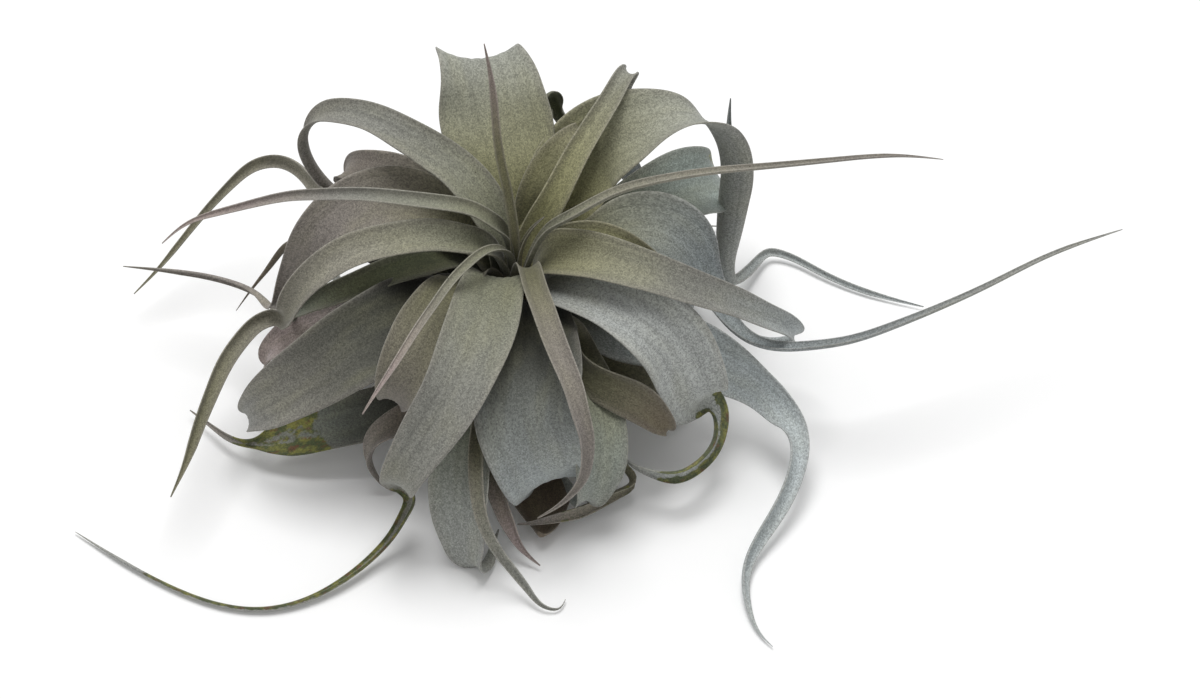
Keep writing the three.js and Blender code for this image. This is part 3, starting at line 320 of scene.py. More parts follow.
    row("leaf_22_front_right_low", "olive teal silver", (-62, 36), shaded=1.2, dark=0.5, seen=[
        (13, -23, 49, 16), (20, -38, 50, 20), (26.5, -52, 46.5, 22), (29.3, -64, 40, 21.5),
        (29.6, -75, 32, 20), (28.2, -83, 23.5, 15), (26.2, -87.3, 17, 9.5), (23, -86, 12.5, 6),
        (18.5, -80, 10.5, 3.6), (14, -73, 10, 1.8)]),
    row("leaf_23_brown_fold", "olive mauve brown", (-50, 40),
        shaded=1.5, dark=0.5, moss=(0.6, 1.0, 0.3), seen=[
        (14, -24, 50, 10), (22, -38.5, 52, 11), (32, -46.5, 51.5, 13.5, -13), (41.5, -51, 47.5, 15, -32),
        (49, -56.3, 40, 12.5, -38), (53.4, -60.6, 33.5, 8, -33), (54.6, -62.6, 28.5, 3.6, -17),
        (51, -61.4, 25, 2.2, -8), (46, -58.6, 24, 1.4, -4)]),
    row("leaf_24_behind_left_tip", "olive sand olive", (142, 39), seen=[
        (-15, -2, 58, 12), (-28, 6, 65, 14), (-41, 11.5, 69, 14), (-53, 14, 69.5, 12), (-62, 17, 67, 8.6),
        (-68, 21.5, 62.5, 6.4), (-72.5, 27, 59.5, 5.8), (-78, 32, 57.5, 5.4), (-85, 34, 55.5, 4.8),
        (-92.5, 32, 52.5, 4.1), (-100, 26, 46, 3.4), (-112, 13, 34, 2.6), (-127, -5, 20, 1.9),
        (-136, -14, 13, 1.5)]),
    row("leaf_25_behind_arc", "olive teal blue", (30, 37), moss=(0.48, 0.7, 0.6), seen=[
        (19, -5, 54, 16, -15), (31, 5, 63, 22, 11), (42, 13.5, 68.5, 25, 11), (52, 19.5, 69.5, 26.5, 8),
        (61, 24, 67, 28, -16), (68.5, 26, 61, 25, -46), (74, 25, 52, 17.5, -23), (77.5, 22.3, 43, 11, -11),
        (78.5, 20, 36, 7, -6), (78, 21.5, 32, 5), (77, 27, 33, 4), (76.5, 35, 42, 3.2),
        (76.3, 45.5, 55, 2.3), (77, 56, 71, 1.5)]),
    row("leaf_26_back_green", "green green sand", (66, 43), seen=[
        (5.5, 13, 69, 12), (9, 23.5, 82, 14), (13.7, 32, 91, 14.5), (19, 38.6, 97, 12.5),
        (24, 42.5, 98, 9.4), (27, 42.3, 94.5, 7), (28, 38.6, 86, 5.4), (27, 33, 77, 3.8),
        (25.5, 27.5, 69, 1.8)]),
    row("leaf_46_behind_left_fold", "olive mauve brown", (128, 37), seen=[
        (-13, 4, 58, 13), (-23, 15, 68, 16, 40), (-34, 23.7, 76, 17, 26), (-44.5, 28.5, 79.5, 16, 5),
        (-53, 30.5, 78, 13.5), (-58.5, 31, 72.5, 11), (-60.6, 29.3, 64.5, 8.4), (-60.5, 26, 56, 6),
        (-58, 22, 48, 3.8), (-54, 17.5, 42, 1.8)]),
    row("leaf_47_back_dark_fold", "moss moss moss", (76, 38), seen=[
        (3, 10, 57, 13), (5.5, 24, 70, 12), (7.6, 38, 82, 10, -48), (9.4, 49, 90, 9, -76),
        (10.9, 56, 93, 8.5, -104), (13.4, 57.2, 91, 8, -167), (15.6, 53.5, 84, 7, -206),
        (16.8, 47, 74, 5, -103), (17.2, 40, 63, 2.6, -51)]),
    row("leaf_27_back_left_tip", "slate olive brown", (160, 34), shaded=1.5, dark=0.5, seen=[
        (-19, -12, 48, 12), (-36, -4, 55, 14.5), (-52, 3, 57.5, 14), (-65, 6.5, 54, 11),
        (-75, 5.5, 46, 7.4), (-82, 1.5, 36.5, 4.4), (-87, -4.5, 28.5, 3.2), (-93, -11.5, 21, 2.4),
        (-99.5, -20, 13, 1.5)]),
    row("leaf_28_right_low", "slate frost frost", (-14, 31), shaded=0.8, dark=0.4, seen=[
        (20, -23, 44, 16), (36, -27, 46, 21), (53, -31, 44, 23.5), (67, -36, 38, 23), (79, -41.5, 31, 20),
        (88.5, -48, 25.5, 15.5), (95.5, -56, 21, 11.4), (100, -66, 17.5, 8.6), (98.8, -78, 13.5, 7.6),
        (93, -91, 9.5, 6.6), (86.5, -101.5, 6.5, 5.4), (82.5, -110, 4.4, 4.4), (81.5, -119, 3, 3.6),
        (83.5, -128, 2.2, 2.8), (87.5, -135.5, 1.6, 2.2), (92, -140, 1.2, 1.6)]),
    row("leaf_29_front_foot", "moss pale silver", (-100, 30), shaded=1.3, dark=0.5, seen=[
        (-6, -33, 40, 15), (-12, -50, 42, 18.5), (-17, -66, 39.5, 22), (-18.6, -80, 32.5, 23.5),
        (-18.2, -93, 22.5, 22.8), (-16.8, -103.5, 12.5, 20.5), (-14.7, -110.3, 4.8, 15.5),
        (-11.5, -110, 2.6, 9), (-8.5, -104, 3.4, 5), (-6, -98, 5.5, 2.4)]),
    row("leaf_30_front_tail", "olive sand silver", (-97, 36), shaded=1.5, dark=0.5, seen=[
        (-4, -30, 46, 10), (-8, -46, 47, 9), (-11, -60, 45.5, 7.4), (-13.1, -71, 42.5, 5.6),
        (-13.1, -83, 37, 4.9), (-11.3, -93.5, 29, 4.5), (-7.3, -102.5, 20.5, 4.1),
        (-1.6, -110.5, 12.5, 3.5), (5.2, -119.3, 6, 3), (11, -125.5, 2.6, 2.4), (15.2, -126.3, 1.6, 1.9),
        (18, -123, 1.4, 1.5)]),
    row("leaf_31_pink_strap", "olive mauve pink", (-88, 26), shaded=1.4, dark=0.6, seen=[
        (-1, -38, 36, 10), (-4, -54, 37, 9), (-7.5, -68, 34, 7.6), (-7.5, -79, 28.5, 6.6),
        (-5, -89, 21.5, 5.6), (-1.5, -98, 13.5, 4.6), (2.5, -105, 6.5, 3.4), (9, -111, 2.6, 1.5)]),
    row("leaf_32_curl_under_front", "olive olive mauve", (-55, 20),
        shaded=1.4, dark=0.6, moss=(0.45, 0.95, 0.5), seen=[
        (14, -46, 26, 12), (25, -60, 22, 12), (34, -70, 16, 9), (39.4, -77.5, 10.5, 6),
        (41.2, -80.8, 8.8, 5), (37.5, -83.8, 8.2, 4.7), (31, -87.2, 8, 4.6), (23, -91, 8.4, 4.6),
        (13, -94, 8.6, 4.4), (6, -95.6, 8.6, 3.4), (0.8, -96.2, 8, 1.7)]),
    # leaf 48 is an old brown leaf whose dark base is painted shade, filling the hollow under the front
    # leaves
    row("leaf_48_brown_under_front", "brown brown brown", (-78, 13), dark=0.5, seen=[
        (2.5, -52.5, 8, 10), (4.5, -61, 5.4, 14, -2), (6.5, -70, 3.8, 18, -1), (8.5, -80, 3, 20.5, 4),
        (9.8, -90, 3, 21, 14), (10.2, -96.5, 3.4, 18, 20), (10, -100, 5, 12, 30), (9.2, -100.6, 7.4, 6, 15),
        (8, -99, 9, 1.8, 7)]),
    row("leaf_33_mossy_left", "slate teal mauve", (222, 16),
        shaded=1.5, dark=0.5, moss=(0.52, 0.86, 1.25), seen=[
        (-16, -42, 21, 14), (-30, -50, 20.5, 17, 28), (-46, -56.3, 18.5, 19.5), (-62, -60, 16, 18.5, 2),
        (-76, -63.6, 13, 17, 2), (-83, -65.6, 10.8, 14.5), (-87.4, -66.8, 9.5, 9.5, -2),
        (-90.2, -67.3, 8.6, 3.4, -3), (-95, -67.5, 7.5, 2.4), (-101, -66, 6, 2), (-108, -61.5, 5, 1.8),
        (-116, -55.5, 4, 1.4)]),
    row("leaf_34_brown_left", "brown mauve mauve", (236, 24), seen=[
        (-14, -41, 31, 12), (-27, -52, 31, 13.5), (-40, -60, 28, 12), (-49.5, -66.5, 22.5, 9.4),
        (-51.3, -72, 16, 7.6), (-49, -78.5, 8.5, 6.4), (-45.5, -82.5, 4, 4), (-41, -82, 2.6, 1.8)]),
    row("leaf_35_back_upper_right", "olive blue silver", (58, 32), round=[
        (20, 60, 46, 16), (38, 61, 60, 24), (57, 62, 64, 26), (73, 62, 57, 20), (83, 61, 43, 13),
        (89, 60, 29, 8), (95, 58, 16, 5), (105, 54, 6.5, 3), (118, 49, 2, 1.5)]),
    row("leaf_36_back_upper_left", "olive silver silver", (112, 31), round=[
        (20, 112, 44, 16), (38, 112, 58, 24), (57, 112, 62, 27), (73, 113, 55, 22), (83, 114, 41, 14),
        (89, 116, 27, 8.5), (95, 120, 14, 5), (103, 127, 6, 3), (112, 135, 2, 1.6)]),
    row("leaf_37_back_low_right", "olive blue silver", (14, 26), round=[
        (20, 15, 36, 14), (36, 17, 43, 21), (52, 20, 41, 23), (65, 24, 31, 18), (73.5, 30, 18, 11.5),
        (78.5, 38, 8.5, 7), (85, 48, 3.2, 4.4), (96, 58, 1.6, 1.6)]),
    row("leaf_38_back_low_right", "olive silver mauve", (45, 17), round=[
        (20, 45, 25, 14), (38, 46, 33, 23), (56, 47, 32, 25), (71, 48, 24, 19), (81, 51, 13.5, 12),
        (88, 55, 6.5, 7), (98, 61, 2.6, 4.2), (112, 67, 1.6, 1.6)]),
    row("leaf_39_back_low", "olive olive silver", (78, 24), round=[
        (20, 78, 33, 14), (38, 77, 42, 23), (58, 76, 41, 26), (75, 76, 31, 20), (86.5, 77, 18, 12),
        (94, 79, 8, 7), (105, 82, 3, 4.2), (121, 86, 1.6, 1.6)]),
    row("leaf_40_back_low", "olive silver mauve", (104, 14), round=[
        (20, 103, 22, 14), (38, 102, 30, 23), (57, 102, 30, 25), (73, 102, 23, 19), (84, 103, 13, 11.5),
        (91, 105, 6, 6.6), (101, 109, 2.6, 4), (115, 113, 1.6, 1.6)]),
    row("leaf_41_back_low_left", "olive silver silver", (130, 23), round=[
        (20, 130, 32, 14), (38, 130, 41, 23), (56, 130, 40, 25), (71, 129, 30, 19), (81, 127, 17, 11.5),
        (88, 124, 8, 6.8), (97, 120, 3, 4), (110, 118, 1.6, 1.6)]),
    row("leaf_42_back_low_left", "olive mauve silver", (152, 13), round=[
        (20, 152, 21, 13), (36, 152, 28, 21), (52, 151, 27, 23), (66, 150, 20, 18), (75.5, 148, 11.5, 11.5),
        (82, 144, 5.6, 6.8), (91, 139, 2.6, 4), (104, 135, 1.6, 1.6)]),
    row("leaf_43_left_foot", "olive mauve brown", (178, 20), round=[
        (20, 177, 29, 14), (35, 175, 35, 20), (50, 173, 33, 21), (62.5, 170, 24, 16), (71, 166, 13.5, 10.5),
        (77, 161, 6, 6.4), (85, 156, 2.8, 4), (98, 151, 1.6, 1.6)]),
    row("leaf_44_right_foot", "olive mauve brown", (-30, 14), round=[
        (20, -29, 22, 13), (34, -27, 26, 17), (46, -24, 24, 17), (55, -20, 17, 12.5), (60, -14, 10, 8),
        (64, -6, 5.5, 5), (70, 2, 3, 3), (78, 8, 1.6, 1.6)]),
]
print(len(LEAVES), "leaves laid out")

# %% [markdown]
# ## A leaf's route
# A grown midrib is one smooth line, so a natural cubic spline runs through its points. Two
# things follow from it: where the midrib is at each even step, and how wide the blade is
# there. The steps are those of the part's source, so that both leaves bend alike.
# %% Routes
ROUTE_STEPS = 96
WIDTH_SMOOTHINGS = 12
ROOT_REACH = 3.0  # a midrib starts this far from the stem's middle
FINE_STEPS = 8  # for each even step, to measure the spline's length


def polar(reach, azimuth, height):
    angle = math.radians(azimuth)
    return np.array([reach * math.cos(angle), reach * math.sin(angle), height])


def seen_point(right, up, height):
    """The point at a height over the surface that the camera sees right of and above the heart."""
    sight = on_view_plane(right, up) - EYE
    return EYE + sight * (height - EYE[2]) / sight[2]


def control_points(leaf):
    """The midrib's points, and the widths and rolls there."""
    rows = leaf.get("seen") or leaf["round"]
    place = seen_point if "seen" in leaf else polar
    azimuth, height = leaf["root"]
    points = [polar(ROOT_REACH, azimuth, height - ROOT_REACH)] + [place(*row[:3]) for row in rows]
    widths = [rows[0][3]] + [row[3] for row in rows]
    rolls = [0.0] + [row[4] if len(row) > 4 else 0.0 for row in rows]
    return np.array(points), np.array(widths, float), np.array(rolls, float)


def spline(knots, values, where):
    """The natural cubic spline through the values at the knots."""
    spans = np.diff(knots)
    slopes = np.diff(values, axis=0) / spans[:, None]
    count = len(knots)
    matrix = np.eye(count)
    right_side = np.zeros_like(values)
    for i in range(1, count - 1):
        matrix[i, i - 1 : i + 2] = spans[i - 1], 2 * (spans[i - 1] + spans[i]), spans[i]
        right_side[i] = 6 * (slopes[i] - slopes[i - 1])
    bends = np.linalg.solve(matrix, right_side)
    i = np.clip(np.searchsorted(knots, where), 1, count - 1)
    span = spans[i - 1][:, None]
    b = (where - knots[i - 1])[:, None] / span
    a = 1 - b
    sag = ((a**3 - a) * bends[i - 1] + (b**3 - b) * bends[i]) * span**2 / 6
    return a * values[i - 1] + b * values[i] + sag


def smoothed(values, rounds):
    """Each value becomes the mean of itself and its neighbours, a few times over."""
    for _ in range(rounds):
        around = np.pad(values, 1, mode="edge")
        values = (around[:-2] + 2 * values + around[2:]) / 4
    return values


def even_steps(points, knots, count):
    """Knot values that lie evenly along the spline's length, and that length."""
    fine = np.linspace(0, knots[-1], FINE_STEPS * count + 1)
    places = spline(knots, points, fine)
    lengths = np.concatenate([[0], np.cumsum(np.linalg.norm(np.diff(places, axis=0), axis=1))])
    return np.interp(np.linspace(0, lengths[-1], count + 1), lengths, fine), lengths[-1]


# %% [markdown]
# ## How a blade turns
# A leaf is a long plate, so it bends across its flat and hardly along its edge. The blade's
# crosswise direction is carried along the midrib without twist, and is then turned a little
# towards each bend, most where the blade is wide and the bend is tight.
# %% Turning
FLAT_PULL = 0.05
FLAT_ROUNDS = 400
OUTWARD_AT = 0.2  # the share of the route that tells which way the leaf grows


def unit(vectors):
    return vectors / np.linalg.norm(vectors, axis=-1, keepdims=True)


def carried(places):
    """Tangents, and crosswise directions that are carried along them without twist."""
    tangents = unit(np.gradient(places, axis=0))
    outward = places[round((len(places) - 1) * OUTWARD_AT)] * (1, 1, 0)
    side = np.cross((0, 0, 1), unit(outward))
    sides = []
    for tangent in tangents:
        side = unit(side - tangent * (side @ tangent))
        sides.append(side)
    return tangents, np.array(sides)


def turns_of(places, widths, length, pull):
    """How far each crosswise direction turns round its tangent, in radians."""
    step = length / (len(places) - 1)
    tangents, sides = carried(places)
    inners = np.cross(tangents, sides)
    around = np.pad(tangents, ((1, 1), (0, 0)), mode="edge")
    bends = around[2:] - around[:-2]
    angles = np.arctan2((bends * sides).sum(1), (bends * inners).sum(1)).tolist()
    pulls = (pull * (np.linalg.norm(bends, axis=1) / (2 * step) * widths * step) ** 2).tolist()
    last = len(places) - 1
    turns = [0.0] * (last + 1)
    for _ in range(FLAT_ROUNDS):
        for i in range(1, last + 1):
            flat = angles[i] + math.pi * round((turns[i] - angles[i]) / math.pi)
            after = turns[min(i + 1, last)]
            turns[i] = (turns[i - 1] + after + pulls[i] * flat) / (2 + pulls[i])
    return np.array(turns)


# %% [markdown]
# ## The blade
# Across, a blade is a shallow channel: an arc that is thickest on the midrib. Where it is
# narrow it rolls almost into a tube, which is why the tips look like cords with a groove.
# The mesh is written straight from that rule, one closed ring of points for each step along
# the leaf, because no modifier bends, narrows and rolls a plate in this way. The margins
# wave a little, the faces have faint lengthwise folds, and the tip thins out to a thread.
# Each point also keeps where it is on the leaf, for the skin: millimetres across and along,
# millimetres to the margin, its tone, and how much moss grows there.
# %% Blades
MIDRIB_THICKNESS = 1.3
MARGIN_THICKNESS = 0.45
OPEN_BEND = math.radians(72)
ROLLED_BEND = math.radians(165)
ROLLED_WIDTH, OPEN_WIDTH = 3.0, 15.0
STEP_LENGTH, LEAST_STEPS = 1.3, 40
WIDE_LEAF, WIDE_SPANS, NARROW_SPANS = 15.0, 20, 12
MARGIN_CROWDING = 0.35  # how much closer together the points lie at the margins
TIP_LENGTH = 22.0  # the stretch that thins out,
TIP_SHARE = 0.22  # down to this share of its size,
TIP_POWER = 0.8  # below 1, so that most of it comes near the end
WAVE_PERIOD = 17.0
WAVE_SHARE = 0.016  # of the width
FOLD_DEPTH = 0.16
FOLDS = 3.4  # from the midrib to a margin
FOLD_WANDER = 60.0  # the folds drift to and fro with about this period
LIFT, MARGIN_LIFT = 0.02, 0.05  # a leaf that lies on the surface stays this far off it
TWO_PI = 2 * math.pi


def smoothstep(values, low, high):
    share = np.clip((values - low) / (high - low), 0, 1)
    return share * share * (3 - 2 * share)


def wander(length, period, count, rng):
    """A smooth random line of about unit height, with one swing in each period."""
    knots = np.arange(0, length + 3 * period, period)
    line = spline(knots, rng.uniform(-1, 1, (len(knots), 1)), np.linspace(0, length, count))
    return line[:, 0]


def grow(leaf, rng):
    """The leaf's points, one ring for each step, and what its skin has to know of each."""
    points, widths, rolls = control_points(leaf)
    knots = np.concatenate([[0], np.cumsum(np.linalg.norm(np.diff(points, axis=0), axis=1))])
    coarse, length = even_steps(points, knots, ROUTE_STEPS)
    width_line = smoothed(np.interp(coarse, knots, widths), WIDTH_SMOOTHINGS)
    roll_line = smoothed(np.interp(coarse, knots, rolls), WIDTH_SMOOTHINGS)
    pull = 0.0 if leaf.get("twisted") else FLAT_PULL
    turn_line = turns_of(spline(knots, points, coarse), width_line, length, pull)
    turn_line += np.radians(roll_line)

    count = max(LEAST_STEPS, round(length / STEP_LENGTH))
    places = spline(knots, points, even_steps(points, knots, count)[0])
    along = np.linspace(0, length, count + 1)
    at_coarse = along / length * ROUTE_STEPS
    width = np.interp(at_coarse, np.arange(ROUTE_STEPS + 1), width_line)
    turn = np.interp(at_coarse, np.arange(ROUTE_STEPS + 1), turn_line)
    tangents, sides = carried(places)
    inners = np.cross(tangents, sides)
    cos, sin = np.cos(turn)[:, None], np.sin(turn)[:, None]
    sides, inners = sides * cos - inners * sin, inners * cos + sides * sin

    left = np.clip((length - along) / TIP_LENGTH, 0, 1)
    thinning = TIP_SHARE + (1 - TIP_SHARE) * left**TIP_POWER
    opened = smoothstep(width, ROLLED_WIDTH, OPEN_WIDTH)
    bend = ROLLED_BEND + (OPEN_BEND - ROLLED_BEND) * opened
    width = width * thinning
    radius = width / 2 / np.sin(bend / 2)
    midrib = (MARGIN_THICKNESS + (MIDRIB_THICKNESS - MARGIN_THICKNESS) * opened) * thinning
    margin = MARGIN_THICKNESS * thinning

    spans = WIDE_SPANS if width.max() > WIDE_LEAF else NARROW_SPANS
    across = np.linspace(-1, 1, spans + 1)
    across = np.sin(across * math.pi / 2) * MARGIN_CROWDING + across * (1 - MARGIN_CROWDING)
    ring = np.concatenate([across, across[::-1]])
    face = np.concatenate([np.ones(spans + 1), -np.ones(spans + 1)])

    waves = [wander(length, WAVE_PERIOD, count + 1, rng) for _ in range(2)]
    wave = np.where(ring > 0, waves[0][:, None], waves[1][:, None]) * ring**2
    wave *= (WAVE_SHARE * width * opened)[:, None]
    phase = wander(length, FOLD_WANDER, count + 1, rng)[:, None]
    folds = np.cos(TWO_PI * FOLDS * np.abs(ring) + 2 * phase) * (1 - ring**2)
    folds *= FOLD_DEPTH * opened[:, None]
    thick = midrib[:, None] + (margin - midrib)[:, None] * ring**2
    angle = ring * bend[:, None] / 2
    depth = face * thick / 2 + wave + folds
    out = (radius[:, None] - depth) * np.sin(angle)
    up = radius[:, None] - (radius[:, None] - depth) * np.cos(angle)
    vertices = places[:, None] + sides[:, None] * out[..., None] + inners[:, None] * up[..., None]
    vertices[..., 2] = np.maximum(vertices[..., 2], LIFT + MARGIN_LIFT * np.abs(ring))

    half_arc = (radius * bend / 2)[:, None]
    skin = {
        "across": half_arc * ring,
        "along": np.repeat(along[:, None], len(ring), axis=1),
        "margin": half_arc * (1 - np.abs(ring)),
        "share": np.repeat((along / length)[:, None], len(ring), axis=1),
        "ring": np.repeat(ring[None], count + 1, axis=0),
    }
    return vertices, skin, length


# %% [markdown]
# ## From rings to a piece
# The rings are joined with four-sided faces, each end gets one face, and every face is
# shaded smooth. The skin's numbers are stored on the points as attributes, so that one
# material can serve all leaves and still know the leaf that it is on.
# %% Pieces
BASE_REACH = (28.0, 95.0)  # the base's tone fades over this stretch, in mm along the leaf, and over this one fades the painted shade of the heart
PAINTED_SHADE_REACH = (16.0, 60.0)  # and over this one the dark of the heart goes
PAINTED_HEART_SHADE = 0.72  # how dark the painted shade makes the base, where a leaf has no `dark` of its own
TIP_FADE = (0.5, 0.95)  # the tip's tone comes in over this share of the leaf
MOSS_FADE = 0.08  # moss thins out over this share of the leaf
MOSS_BAND = (0.2, 0.9)  # from the midrib to the margin: it gets denser over this stretch,
MOSS_INSIDE = 0.45  # from this share of it on the midrib
SEED_STEP = 37.0  # moves the patterns from leaf to leaf, so that no two are alike


def tone_of(leaf, skin):
    """The leaf's colour from its base to its tip, darkened towards the base by painted shade."""
    base, middle, tip = (TONES[name] for name in leaf["tones"])
    share = skin["share"][..., None]
    shade = skin["along"][..., None] / leaf.get("shaded", 1.0)
    green = skin["along"][..., None] / leaf.get("fresh", leaf.get("shaded", 1.0))
    to_middle = smoothstep(green, *BASE_REACH)
    to_tip = smoothstep(share, *TIP_FADE)
    tone = (base + (middle - base) * to_middle) * (1 - to_tip) + tip * to_tip
    # painted shade: the base darkens towards the heart, where the other leaves shade it
    dark = leaf.get("dark", PAINTED_HEART_SHADE)
    return tone * (dark + (1 - dark) * smoothstep(shade, *PAINTED_SHADE_REACH))


def moss_of(leaf, skin):
    """How much moss may grow, from 0 to 1: over a stretch of the leaf, most at its margins."""
    start, end, amount = leaf.get("moss", (0, 0, 0))
    if not amount:
        return np.zeros_like(skin["share"])
    stretch = smoothstep(skin["share"], start, start + MOSS_FADE)
    stretch *= 1 - smoothstep(skin["share"], end - MOSS_FADE, end)
    outward = smoothstep(np.abs(skin["ring"]), *MOSS_BAND)
    return amount * stretch * (MOSS_INSIDE + (1 - MOSS_INSIDE) * outward)


def store(mesh, name, kind, values):
    attribute = mesh.attributes.new(name, kind, "POINT")
    channel = {"FLOAT": "value", "FLOAT_VECTOR": "vector", "FLOAT_COLOR": "color"}[kind]
    attribute.data.foreach_set(channel, np.ascontiguousarray(values, np.float32).ravel())


def piece_from(name, rings):
    """A closed mesh from rings of points, shaded smooth."""
    steps, around = rings.shape[:2]
    here = np.arange(steps * around).reshape(steps, around)
    there = np.roll(here, -1, axis=1)
    quads = np.stack([here[:-1], here[1:], there[1:], there[:-1]], axis=-1).reshape(-1, 4)
    mesh = bpy.data.meshes.new(name)
    ends = [here[0].tolist(), here[-1][::-1].tolist()]
    mesh.from_pydata((rings.reshape(-1, 3) * MM).tolist(), [], quads.tolist() + ends)
    mesh.polygons.foreach_set("use_smooth", [True] * len(mesh.polygons))
    mesh.update()
    piece = bpy.data.objects.new(name, mesh)
    bpy.context.collection.objects.link(piece)
    return piece


def leaf_piece(leaf, number, material):
    rng = np.random.default_rng(number)
    rings, skin, length = grow(leaf, rng)
    piece = piece_from(leaf["name"].replace("leaf_", "grown_leaf_"), rings)
    seed = np.full_like(skin["along"], SEED_STEP * number)
    store(piece.data, "blade", "FLOAT_VECTOR", np.stack([skin["across"], skin["along"], seed], -1))
    store(piece.data, "margin", "FLOAT", skin["margin"])
    store(piece.data, "moss", "FLOAT", moss_of(leaf, skin))
    tone = tone_of(leaf, skin)
    store(piece.data, "tone", "FLOAT_COLOR", np.concatenate([tone, np.ones_like(tone[..., :1])], -1))
    piece.data.materials.append(material)
    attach(piece, "root")
    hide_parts(leaf["name"])
    return piece, length


# %% [markdown]
# ## The skin
# The skin is leaf tissue under a felt of trichomes. Each is a flat, dull, silvery scale
# about a third of a millimetre wide, so the leaf has no gloss, a fine sandy grain and a soft
# pale sheen at grazing angles. Shader nodes could be set up by hand in the editor. Here one
# small function adds each of them, fills its inputs in order or by name, and hands back an
# output for the next node to follow.
# %% Adding a node
def node(tree, kind, inputs=(), out=0, **settings):
    """Adds a shader node. Each input is given a value, or another node's output to follow."""
    made = tree.nodes.new("ShaderNode" + kind)
    for name, value in settings.items():
        setattr(made, name, value)
    for socket, value in inputs.items() if isinstance(inputs, dict) else enumerate(inputs):
        if isinstance(value, bpy.types.NodeSocket):
            tree.links.new(value, made.inputs[socket])
        else:
            made.inputs[socket].default_value = value
    return made.outputs[out]


FACTOR, ONE, OTHER = 0, 6, 7  # the Mix node's sockets, when it mixes colours,
COLOURS = {"out": 2, "data_type": "RGBA"}  # and its output and setting then
SCALE = 3  # the Vector Math node's number to scale by
NOISE_SPAN = (0.3, 0.7)  # nearly all that a noise gives lies between these


# %% [markdown]
# ## The pattern of the felt
# Everything that patterns a leaf is laid out in the leaf's own millimetres, across and along,
# so that it follows every bend. The scales lie in rows, as the cells of a Voronoi pattern
# do, and a finer noise stands for their ragged wings. Under them run parallel veins. Wider
# streaks and blotches tell where the felt is worn or wet, and here and there it has a
# dark speck.
# %% Felt pattern
TRICHOME = 0.42  # real ones are 0.3 mm, and are drawn coarser here, or they would not show
TRICHOME_ROW = 1.15  # each is this much longer than wide
WING = 0.45
VEIN_SPACING, VEIN_LENGTH = 0.9, 60.0
STREAK_WIDTH, STREAK_LENGTH = 3.6, 90.0
BLOTCH_WIDTH, BLOTCH_LENGTH = 9.0, 26.0
SPECK_SPACING, SPECK_SIZE = 9.0, 0.34
CELLS = {  # how wide and how long one cell of each pattern is, in mm
    "scales": (TRICHOME, TRICHOME * TRICHOME_ROW),
    "wings": (WING, WING),
    "veins": (VEIN_SPACING, VEIN_LENGTH),
    "streaks": (STREAK_WIDTH, STREAK_LENGTH),
    "blotches": (BLOTCH_WIDTH, BLOTCH_LENGTH),
    "specks": (SPECK_SPACING, SPECK_SPACING),
}


def felt_pattern(tree):
    """The outputs that hold each pattern, as numbers of about 0 to 1."""
    blade = node(tree, "Attribute", out="Vector", attribute_name="blade")
    pattern = {}
    for name, (wide, long) in CELLS.items():
        cell = (1 / wide, 1 / long, 1.0)
        place = node(tree, "VectorMath", (blade, cell), operation="MULTIPLY")
        if name in ("scales", "specks"):
            pattern[name] = node(tree, "TexVoronoi", {"Vector": place, "Scale": 1.0})
        else:
            noise = {"Vector": place, "Scale": 1.0, "Detail": 2.0}
            pattern[name] = node(tree, "TexNoise", noise)
    cell_colour = pattern["scales"].node.outputs["Color"]
    pattern["lustre"] = node(tree, "SeparateColor", (cell_colour,))
    return pattern


# %% [markdown]
# ## The colour of the felt
# Each pattern makes the leaf's tone a little darker or lighter, and all of them are
# multiplied. Then the colour itself changes: greener in the blotches where the felt is
# thin, mauve along the margins, a thin pale rim, and dark specks.
# %% Felt colour
# how dark and how light each pattern makes the tone
SHADES = {"streaks": (0.88, 1.1), "blotches": (0.93, 1.06), "veins": (0.94, 1.06), "wings": (0.87, 1.13)}
THIN_FELT, THIN_GREEN = (0.45, 0.75), 0.25  # in these blotches, this much green shows through
MAUVE_WIDTH, MAUVE_TINT = 3.2, 0.25  # the band along the margin that the sun has tinted
RIM_WIDTH, RIM_COLOUR = 0.3, "#b4b1a6"  # the pale rim, which fades
RIM_CORE = 0.3  # from this share of its width
SPECK_COLOUR, SPECK_COVER = "#38342a", 0.75
SPECK_CORE = 0.6  # a speck fades from this share of its size


